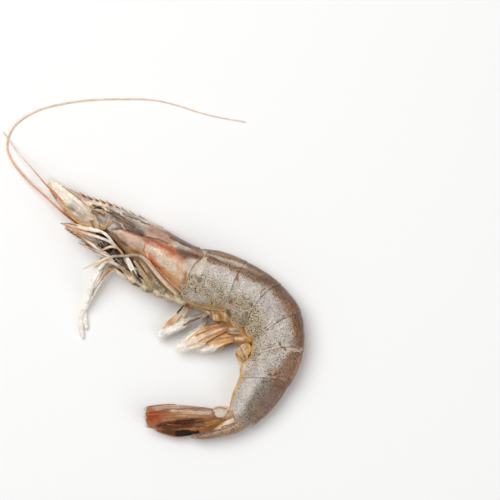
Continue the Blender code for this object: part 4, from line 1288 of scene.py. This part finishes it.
SWIM_BASE_STROKES = [
    ("swim gold", 0.8, 8, 5, [(190, 303), (200, 308), (206, 311)]),
    ("swim brown", 0.7, 2, 1.5, [(186, 304), (190, 311), (198, 313)]),
    ("gold", 0.4, 9, 6, [(212, 316), (223, 317)]),
    ("swim brown", 0.5, 3, 3, [(200, 306), (212, 309.5), (226, 310)]),
    ("scale grey", 0.7, 4, 3, [(205, 313), (211, 316)]),
    ("seam light", 0.8, 1.5, 1.0, [(213, 312), (214, 319)]),
    ("seam light", 0.7, 1.5, 1.0, [(217, 315), (218, 321)]),
    ("seam light", 0.7, 1.7, 1.0, [(225, 312), (225, 320)]),
    ("swim brown", 0.9, 3, 2, [(206, 325), (216, 323), (229, 323.5)]),
    ("leg dark", 0.7, 3, 3, [(207, 321), (210, 325)]),
    ("thorax brown", 0.8, 7, 4, [(224, 327), (236, 329), (241, 334)]),
    ("seam light", 0.8, 1.7, 1.0, [(230, 329.5), (240, 329)]),
    ("seam light", 0.8, 1.5, 1.0, [(230, 333), (239, 334)]),
    ("cream", 0.6, 3, 2, [(235, 337.5), (243, 339)]),
    ("swim brown", 0.85, 1.8, 1.2, [(230, 334.5), (228.5, 340), (234, 343), (247, 343.5)]),
    ("leg dark", 0.5, 3, 3, [(232, 337), (234, 340)]),
    ("gold", 0.8, 1.5, 1.2, [(240.5, 326), (241, 333), (247, 338), (251, 341)]),
    ("swim gold", 0.9, 4, 3, [(234, 346), (250, 346)]),
    ("leg dark", 0.6, 1.2, 1.0, [(204, 318), (212, 321.5), (226, 321.5)]),
    ("pigment dark", 0.6, 1.4, 1.2, [(208, 311), (212, 314), (211, 319)]),
    ("pigment dark", 0.5, 1.4, 1.2, [(219, 313), (221, 318)]),
    ("thorax olive", 0.7, 4, 3, [(192, 306), (202, 310)]),
    ("cream", 0.8, 1.2, 1.0, [(206, 311), (209, 313), (208, 316)]),
    ("cream", 0.7, 1.2, 1.0, [(219, 311), (222, 313)]),
]
SWIM_STROKES = [
    ("swim brown", 0.9, 3.4, 2.4, [(206, 327), (216, 323.5), (230, 325)]),
    ("swim brown", 0.75, 2.0, 1.6, [(196, 336), (210, 329), (224, 326)]),
    ("seam light", 0.7, 1.6, 1.2, [(203, 338), (213, 332), (222, 328)]),
    ("swim brown", 0.6, 2.0, 1.6, [(200, 341), (212, 335), (226, 331)]),
    ("tan", 0.5, 3, 2.4, [(206, 341), (218, 336), (228, 334)]),
    ("swim brown", 0.5, 1.4, 1.2, [(205, 343), (222, 338), (229, 338)]),
    ("swim orange", 0.6, 3, 2.4, [(206, 345), (218, 342), (230, 342)]),
    ("gold", 0.8, 1.4, 1.0, [(208, 326), (196, 333), (188, 340)]),
    ("swim cream", 0.5, 4, 3, [(196, 348), (210, 348), (222, 346)]),
    ("swim orange", 0.6, 2.0, 1.6, [(188, 346), (200, 343), (212, 340)]),
]
SWIM_STREAKS = [(7, "swim orange", 0.55), (12, "swim brown", 0.4), (4, "swim cream", 0.4)]
# For each swimmeret: its root's places and thicknesses, its blade's places and widths, its colours
# from root to tip, its strokes
SWIMMERETS = {
    "left": [
        ([(197, 297, 5.0), (191, 303, 5.8), (187, 308, 6.2)], (1.6, 1.6, 1.2),
         [(187, 306, 6.2), (177, 319, 5.4), (167, 329, 4.2), (158, 337, 3.0)], (2.4, 3.6, 3.6, 2.2),
         [(0, "thorax olive"), (0.3, "leg white"), (0.5, "tan"), (0.72, "swim cream"), (1, "swim cream")],
         [("mouth", 0.85, 2.4, 1.6, [(188, 300), (182, 306), (178, 313)]),
          ("gold", 0.8, 1.3, 1.0, [(178, 314), (168, 324), (163, 329)]),
          ("swim brown", 0.6, 2.0, 2.0, [(181, 317), (172, 327)])]),
        ([(214, 302, 7.0), (210, 309, 7.8), (205, 313, 8.0)], (1.7, 1.5, 1.0),
         [(208, 313, 8.0), (193, 318.5, 7.2), (179, 325.5, 6.2), (162, 334, 5.2)], (1.7, 2.1, 2.3, 1.4),
         [(0, "olive"), (0.3, "scale grey"), (0.55, "leg white"), (0.8, "swim cream"), (1, "swim cream")],
         [("leg dark", 0.8, 2.2, 1.6, [(200, 318.5), (191, 321.5), (184, 325)]),
          ("leg dark", 0.5, 1.2, 1.0, [(203, 313), (190, 317)]),
          ("orange", 0.6, 1.3, 1.0, [(196, 323), (182, 330), (168, 336)])]),
        ([(234, 304, 7.2), (224, 313, 7.8), (211, 319, 8.0)], (2.4, 2.3, 1.8),
         [(231, 325, 7.8), (212, 331, 7.4), (195, 339.5, 5.8), (176, 349, 4.4)], (2.6, 4.8, 5.4, 2.2),
         [(0, "swim brown"), (0.3, "swim orange"), (0.6, "cream"), (0.8, "swim cream"), (1, "swim cream")],
         SWIM_STROKES),
        ([(252, 322, 7.2), (240, 328, 7.6), (226, 331, 7.8)], (2.4, 2.2, 1.7),
         [(240, 336, 7.4), (222, 338.5, 6.9), (208, 343.5, 5.4), (192, 349, 3.4)], (2.6, 5.0, 5.4, 2.2),
         [(0, "swim gold"), (0.4, "swim orange"), (0.75, "swim cream"), (1, "swim cream")], SWIM_STROKES),
        ([(260, 334, 7.4), (248, 338.5, 8.0), (233, 340.5, 8.2)], (2.1, 1.9, 1.5),
         [(249, 344, 8.8), (245, 349, 8.8), (241, 355, 8.6), (243.5, 361, 8.2)], (3.0, 4.4, 4.0, 1.6),
         [(0, "swim gold"), (0.4, "scale tan"), (1, "gold")],
         [("gold", 0.95, 3.0, 1.8, [(249, 344), (248.5, 352), (247, 358)]),
          ("swim brown", 0.7, 1.1, 0.9, [(240, 346), (243, 353), (246, 359)]),
          ("hinge", 0.8, 1.3, 1.0, [(233.5, 348), (236, 354), (243, 360)])]),
    ],
    "right": [
        ([(199, 299, 4.4), (194, 304, 4.0), (190, 308, 3.6)], (1.4, 1.4, 1.0),
         [(188, 306, 3.4), (180, 315, 3.0), (172, 324, 2.2), (164, 332, 1.4)], (1.6, 2.2, 2.2, 1.2),
         [(0, "leg green"), (0.6, "cream"), (1, "swim cream")], []),
        ([(214, 303, 4.6), (211, 310, 4.2), (208, 315, 3.8)], (1.6, 1.6, 1.2),
         [(208, 316, 3.8), (204, 322, 3.2), (200, 328, 2.4), (196, 334, 1.6)], (1.3, 1.8, 1.8, 1.0),
         [(0, "scale grey"), (0.4, "leg white"), (1, "swim cream")], []),
        ([(235, 307, 4.4), (227, 315, 4.2), (220, 321, 4.0)], (2.0, 1.9, 1.5),
         [(222, 324, 3.8), (215, 333, 3.2), (206, 341, 2.2), (198, 347, 1.4)], (3.0, 4.2, 4.0, 2.0),
         [(0, "swim gold"), (0.5, "swim orange"), (1, "swim cream")], SWIM_STROKES),
        ([(252, 325, 4.4), (243, 330, 4.2), (234, 335, 4.0)], (2.0, 1.9, 1.5),
         [(233, 337, 3.6), (226, 341, 3.0), (217, 345, 2.0), (208, 349, 1.2)], (3.0, 4.0, 3.6, 2.0),
         [(0, "swim gold"), (0.5, "swim orange"), (1, "swim cream")], SWIM_STROKES),
        ([(260, 337, 4.4), (251, 341, 4.2), (245, 344, 4.0)], (1.8, 1.7, 1.3),
         [(246, 347, 3.8), (243, 352, 3.4), (242, 358, 2.8), (244, 363, 2.2)], (2.4, 3.2, 3.0, 1.4),
         [(0, "swim gold"), (1, "cream")], []),
    ],
}
SWIM_FACING = (-0.05, 0.2, 1.0)


def build_swimmerets():
    """Five pairs of swimming legs: a thick root, a broad and a narrow blade, and fringes of bristles."""
    pad = spots_at([(186, 301, 6.0), (203, 306.5, 6.4), (221, 313, 6.4), (238, 325, 6.4), (248, 340, 6.2)])
    paint = stroke_paint("swim gold", SWIM_BASE_STROKES,
                         streaks=[(5, "swim brown", 0.5), (4, "thorax olive", 0.4)])
    build_limb("belly_pad", pad, [1.2, 2.0, 2.6, 2.6, 1.6], paint, around=32, pinch=0.0, flatten=1.3)
    for side_name, rows in SWIMMERETS.items():
        side = SIDES[side_name]
        for number, (root, radii, blade, widths, stops, strokes) in enumerate(rows, 1):
            label = f"swimmeret_{number}_{side_name}"
            build_limb(f"{label}_root", spots_at(root), radii,
                       stroke_paint("swim gold", SWIM_BASE_STROKES, streaks=[(4, "swim brown", 0.4)]),
                       around=28, flatten=0.7, pinch=0.0, tip_close=0.25)
            path = spots_at(blade)
            streaks, tip_plain = (SWIM_STREAKS, 0.25) if number > 2 else ([(4, "leg dark", 0.3)], 0.7)
            paint = graded_paint(stops, strokes, streaks=streaks, tip_plain=tip_plain)
            build_leaf(f"{label}_outer", path, widths, SWIM_FACING, paint, camber=0.2, tip=0.2, rows=32,
                       ribs=[(0.0, 0.2, 0.07), (0.35, 0.12, 0.05), (-0.35, 0.12, 0.05), (0.7, 0.1, 0.05),
                             (-0.7, 0.1, 0.05)])
            shift = np.array([0.16, -0.2, -0.24 * side]) * widths[1]
            inner = path + shift * np.linspace(0.2, 1.0, len(path))[:, None]
            inner[-1] = inner[-2] + (inner[-1] - inner[-2]) * 0.6
            build_leaf(f"{label}_inner", inner, [w * 0.75 for w in widths], SWIM_FACING, paint, camber=0.2,
                       ribs=[(0.0, 0.2, 0.1), (0.5, 0.1, 0.06), (-0.5, 0.1, 0.06)], tip=0.2, columns=44)
            strands = both_fringes(path, widths, SWIM_FACING, 0.5, 1.3, 0.3, tip=0.2)
            build_bristles(f"{label}_fringe", strands, "swim cream", "scale white")


TAIL_STROKES = [
    ("tail pink", 1.0, 7, 3, [(148, 409), (170, 407.5), (190, 407), (206, 408)]),
    ("tail rust", 0.8, 6, 4, [(146, 408), (151, 411)]),
    ("tail white", 0.6, 3, 2, [(162, 406), (178, 405.5)]),
    ("tail rust", 0.7, 1.4, 1.2, [(152, 404.5), (168, 403.5), (190, 404.5), (212, 408)]),
    ("dark brown", 0.6, 1.4, 1.2, [(150, 414), (160, 411.5), (172, 409.5), (190, 408.8), (212, 409)]),
    ("tail white", 0.95, 4, 2, [(172, 411.5), (190, 411.5), (210, 412.5)]),
    ("dark brown", 0.45, 1.0, 0.9, [(176, 410), (192, 410.5), (210, 411)]),
    ("orange", 0.7, 1.3, 1.0, [(166, 412.5), (186, 413.7), (212, 416)]),
    ("tail tan", 1.0, 5, 3, [(166, 416.5), (184, 416.5), (210, 418)]),
    ("tail white", 0.5, 1.6, 1.4, [(176, 416.5), (198, 415.7)]),
    ("tail rust", 0.7, 1.0, 0.9, [(168, 417), (186, 418), (200, 417)]),
    ("tail red", 0.95, 11, 5, [(152, 417), (157, 417)]),
    ("tail rust", 0.8, 6, 4, [(156, 421), (164, 414)]),
    ("dark brown", 0.95, 4.5, 3, [(158, 426), (172, 423), (186, 420.5), (193, 420)]),
    ("dark brown", 0.8, 3, 2.4, [(190, 420), (202, 419.5)]),
    ("dark brown", 0.9, 6, 4, [(164, 427), (180, 425.5), (190, 424.5)]),
    ("dark brown", 0.6, 4, 3, [(188, 424), (203, 423)]),
    ("black brown", 0.5, 2.0, 1.6, [(176, 422.5), (194, 420)]),
    ("tail gold", 0.9, 6, 4, [(207, 422), (214, 424)]),
    ("tail rust", 0.6, 1.6, 1.4, [(200, 421), (210, 421)]),
    ("dark brown", 0.85, 1.5, 1.2, [(196, 426.5), (208, 427), (216, 425), (222, 420), (228, 413)]),
    ("tail gold", 0.95, 4.5, 3, [(190, 430.5), (204, 429.5), (216, 427), (224, 421)]),
    ("tail rust", 0.5, 1.4, 1.2, [(196, 429), (212, 427)]),
    ("tail rust", 0.8, 5, 4, [(156, 430), (166, 434)]),
    ("dark brown", 0.9, 6, 4, [(164, 431.5), (176, 433)]),
    ("black brown", 0.97, 6.2, 2.6, [(178, 434), (189, 433.3)]),
    ("black brown", 0.9, 3.6, 2.2, [(188, 433), (198, 432)]),
    ("dark brown", 0.8, 2, 1.4, [(168, 437), (186, 438), (194, 438)]),
    ("tail rust", 0.7, 1.6, 1.2, [(158, 431), (168, 437), (180, 439)]),
]


def build_tail():
    """The telson, and on each side a stub with two ribbed blades that end in a fringe."""
    middle_line = [(32.6, -53.0, 4.2), (28.2, -55.6, 4.3), (22.6, -57.4, 4.4), (17.0, -58.6, 4.4),
                   (12.8, -59.1, 4.2)]

    def telson_place(along, across):
        points, _, up, _ = path_frames(middle_line, along)
        width = rows_at([6.0, 6.2, 5.2, 3.6, 0.6], along * 4)[:, 0]
        depth = rows_at([4.6, 4.4, 3.4, 2.2, 0.5], along * 4)[:, 0]
        angle = across * FULL_TURN
        groove = 1 - 0.22 * hump(np.degrees(np.abs(np.angle(np.exp(1j * (angle - math.pi))))), 0, 14)
        closing = 1 - smooth(along, 0.985, 1.0)
        reach = np.cos(angle) * depth / 2 * groove * closing
        side = np.sin(angle) * width / 2 * closing
        return points + up * reach[:, None] + UP * side[:, None]

    build_sheet("telson", 90, 40, telson_place, stroke_paint("telson", [
        ("seam", 0.6, 1.4, 1.2, [(197, 437), (208, 433), (220, 429), (230, 425)]),
        ("back edge", 0.5, 2.0, 2.0, [(200, 440), (222, 438), (240, 433)]),
        ("tail tan", 0.5, 4, 4, [(236, 427), (242, 428)]),
    ]), SHELL, closed=True)

    build_limb("tail_root", spots_at([(245, 419, 4.0), (235, 420, 5.2), (225, 425, 5.6), (213, 431, 5.4)]),
               [2.2, 2.0, 1.5, 0.6], stroke_paint("tail white", [
                   ("tail gold", 0.8, 3, 2, [(214, 430), (222, 423), (229, 415)]),
                   ("seam light", 0.7, 3, 2, [(228, 420), (231, 424)]),
                   ("dark brown", 0.7, 1.4, 1.2, [(221, 428), (229, 424.5), (234, 423)]),
                   ("hinge", 0.7, 1.6, 1.2, [(232, 413), (234, 418), (236, 425)]),
               ]), around=28, pinch=0.0, flatten=0.8, tip_close=0.2)
    stubs = {
        "left": [(28.6, -51.2, 4.6), (26.2, -51.0, 6.2), (23.6, -50.7, 7.0), (21.2, -50.5, 7.0)],
        "right": [(29.6, -50.0, 2.8), (26.0, -50.0, 2.4), (22.6, -49.8, 2.2), (20.4, -49.6, 2.2)],
    }
    for side_name, path in stubs.items():
        build_limb(f"tail_stub_{side_name}", path, [1.5, 1.65, 1.7, 1.2], stroke_paint("tail white", [
            ("seam light", 0.7, 5, 3, [(216, 412), (223, 413)]),
            ("hinge", 0.8, 1.3, 1.0, [(212, 411), (218, 408), (226, 409)]),
            ("tail tan", 0.7, 8, 5, [(228, 420), (232, 416)]),
            ("hinge", 0.7, 1.4, 1.2, [(212, 410), (214, 415), (218, 418.5), (224, 417), (229, 411)]),
        ]), around=28, pinch=0.03, tip_close=0.2)
    blades = {
        "left_outer": ([(23.6, -51.2, 7.2), (16.0, -52.4, 7.5), (6.0, -53.4, 7.2), (-2.6, -53.2, 6.4)],
                       [2.6, 5.0, 6.4, 4.4], (0.0, -0.45, 0.89)),
        "left_inner": ([(26.2, -52.2, 5.8), (18.0, -55.3, 6.1), (8.6, -56.7, 5.8), (0.8, -55.4, 5.0)],
                       [2.4, 4.4, 5.4, 3.0], (0.0, -0.65, 0.76)),
        "right_inner": ([(25.8, -52.0, 3.0), (18.0, -55.0, 2.6), (8.6, -56.4, 2.2), (1.2, -54.6, 1.8)],
                        [2.4, 4.2, 5.0, 2.8], (0.0, 0.55, 0.83)),
        "right_outer": ([(23.2, -50.8, 2.4), (16.0, -50.8, 1.9), (6.0, -50.7, 1.5), (-2.8, -50.8, 1.3)],
                        [2.6, 5.0, 6.2, 4.4], (0.0, 0.25, 0.97)),
    }
    paint = stroke_paint("tail tan", TAIL_STROKES, 0.8,
                         [(9, "dark brown", 0.42), (13, "tail white", 0.2), (21, "tail rust", 0.3)])
    for name, (path, widths, facing) in blades.items():
        build_leaf(f"tail_{name}", path, widths, facing, paint, camber=0.12,
                   ribs=[(0.12, 0.38, 0.07), (-0.12, 0.30, 0.06), (0.86, 0.22, 0.08), (-0.6, 0.12, 0.05)],
                   tip=0.09, columns=120, rows=44, thickness=0.35)
        strands = both_fringes(path, widths, facing, 0.6, 1.2, 0.36, sweep=0.8, tip=0.09)
        build_bristles(f"tail_{name}_fringe", strands, "tail rust", "orange")


# The two long antennae

ANTENNA_RADIUS = 0.40
ANTENNA_TIP_SHARE = 0.4
ANTENNAE = {
    "antenna_left": [
        (-23.6, 15.4, 12.4), (-26.9, 17.0, 12.5), (-30.4, 21.4, 12.2), (-33.9, 25.9, 11.2),
        (-37.9, 29.9, 9.4), (-43.2, 36.0, 6.4), (-47.4, 40.6, 3.8), (-50.9, 45.4, 1.6), (-53.0, 48.2, 0.6),
    ],
    "antenna_right": [
        (-23.6, 13.6, 8.0), (-27.4, 16.4, 7.6), (-32.7, 20.6, 6.4), (-38.0, 25.5, 4.8), (-43.2, 30.1, 3.0),
        (-48.5, 36.0, 1.4), (-51.2, 40.8, 0.7), (-51.4, 45.0, 0.5), (-49.9, 49.0, 0.5), (-46.7, 52.4, 0.5),
        (-39.7, 56.2, 0.5), (-29.2, 58.6, 0.5), (-20.5, 59.5, 0.5), (-11.7, 59.7, 0.5), (-1.2, 59.5, 0.5),
        (7.5, 57.7, 0.5), (16.3, 54.9, 0.5), (23.3, 53.2, 0.5), (32.4, 51.6, 0.5),
    ],
}


WHIP_COLOURS = {
    "antenna_left": [(0, "gold"), (0.27, "gold"), (0.34, "whip red"), (0.46, "whip red"),
                     (0.53, "whip middle"), (0.64, "whip pale"), (1, "whip pale")],
    "antenna_right": [(0, "whip root"), (0.09, "whip root"), (0.125, "whip middle"),
                      (0.2, "whip middle"), (0.45, "whip pale"), (1, "whip pale")],
}


def build_antennae():
    """The two whips, thinner towards their tips; each stands for a node of its own."""
    for name, path in ANTENNAE.items():
        radii = ANTENNA_RADIUS * np.linspace(1, ANTENNA_TIP_SHARE, len(path))
        paint = graded_paint(WHIP_COLOURS[name], streaks=[(2, "whip red", 0.2)])
        build_limb(name.replace("antenna", "whip"), path, radii, paint, columns_each=24, around=12,
                   pinch=0.0, tip_close=0.01, material=WHIP, slot="whip", stands_for=name)


# Floor, light and camera

CAMERA_HEIGHT = 1.6
FRAME_WIDTH = 500 * PIXEL * MM
FRAME_MIDDLE = (250.0, 250.0)
MIDDLE_HEIGHT = 0.007
SENSOR_WIDTH = 36.0
FLOOR_HALF = 3.0
SKY_STRENGTH = 0.33
LIGHTS = [  # name, place from the middle of the view, size and power
    ("key", (-0.36, 0.34, 0.85), 0.8, 7.0),
    ("fill", (0.5, -0.4, 0.6), 0.7, 1.8),
]


def build_floor():
    """A plain pale floor."""
    form = bmesh.new()
    bmesh.ops.create_grid(form, x_segments=1, y_segments=1, size=FLOOR_HALF)
    mesh = bpy.data.meshes.new("floor")
    form.to_mesh(mesh)
    form.free()
    mesh.materials.append(plain_material("floor_white", (250, 250, 249), 0.9))
    floor = bpy.data.objects.new("floor", mesh)
    bpy.context.scene.collection.objects.link(floor)


def add_area_light(name, place, aim, size, power):
    """A round soft light that looks at a point."""
    data = bpy.data.lights.new(name, "AREA")
    data.shape = "DISK"
    data.size = size
    data.energy = power
    light = bpy.data.objects.new(name, data)
    light.location = place
    light.rotation_euler = (aim - place).to_track_quat("-Z", "Y").to_euler()
    bpy.context.scene.collection.objects.link(light)


def build_studio():
    """Two soft lights, an even sky, and a camera that looks straight down at the middle of the view."""
    aim = Vector((*from_pixels([FRAME_MIDDLE])[0] * MM, 0.0))
    for name, place, size, power in LIGHTS:
        add_area_light(name, aim + Vector(place), aim, size, power)
    world = bpy.data.worlds.new("studio")
    world.use_nodes = True
    sky = world.node_tree.nodes["Background"]
    sky.inputs["Color"].default_value = (1.0, 1.0, 1.0, 1.0)
    sky.inputs["Strength"].default_value = SKY_STRENGTH
    scene = bpy.context.scene
    scene.world = world
    scene.view_settings.view_transform = "Standard"
    data = bpy.data.cameras.new("camera")
    data.sensor_width = SENSOR_WIDTH
    data.lens = SENSOR_WIDTH * (CAMERA_HEIGHT - MIDDLE_HEIGHT) / FRAME_WIDTH
    data.clip_end = 10.0
    camera = bpy.data.objects.new("camera", data)
    camera.location = (aim.x, aim.y, CAMERA_HEIGHT)
    scene.collection.objects.link(camera)
    scene.camera = camera


build_carapace()
for ring_number in range(6):
    build_ring(ring_number)
build_flesh()
build_rostrum()
build_head_pieces()
build_limbs()
build_leg_plates()
build_jaws()
build_swimmerets()
build_tail()
build_antennae()
build_floor()
build_studio()

bpy.context.view_layer.update()
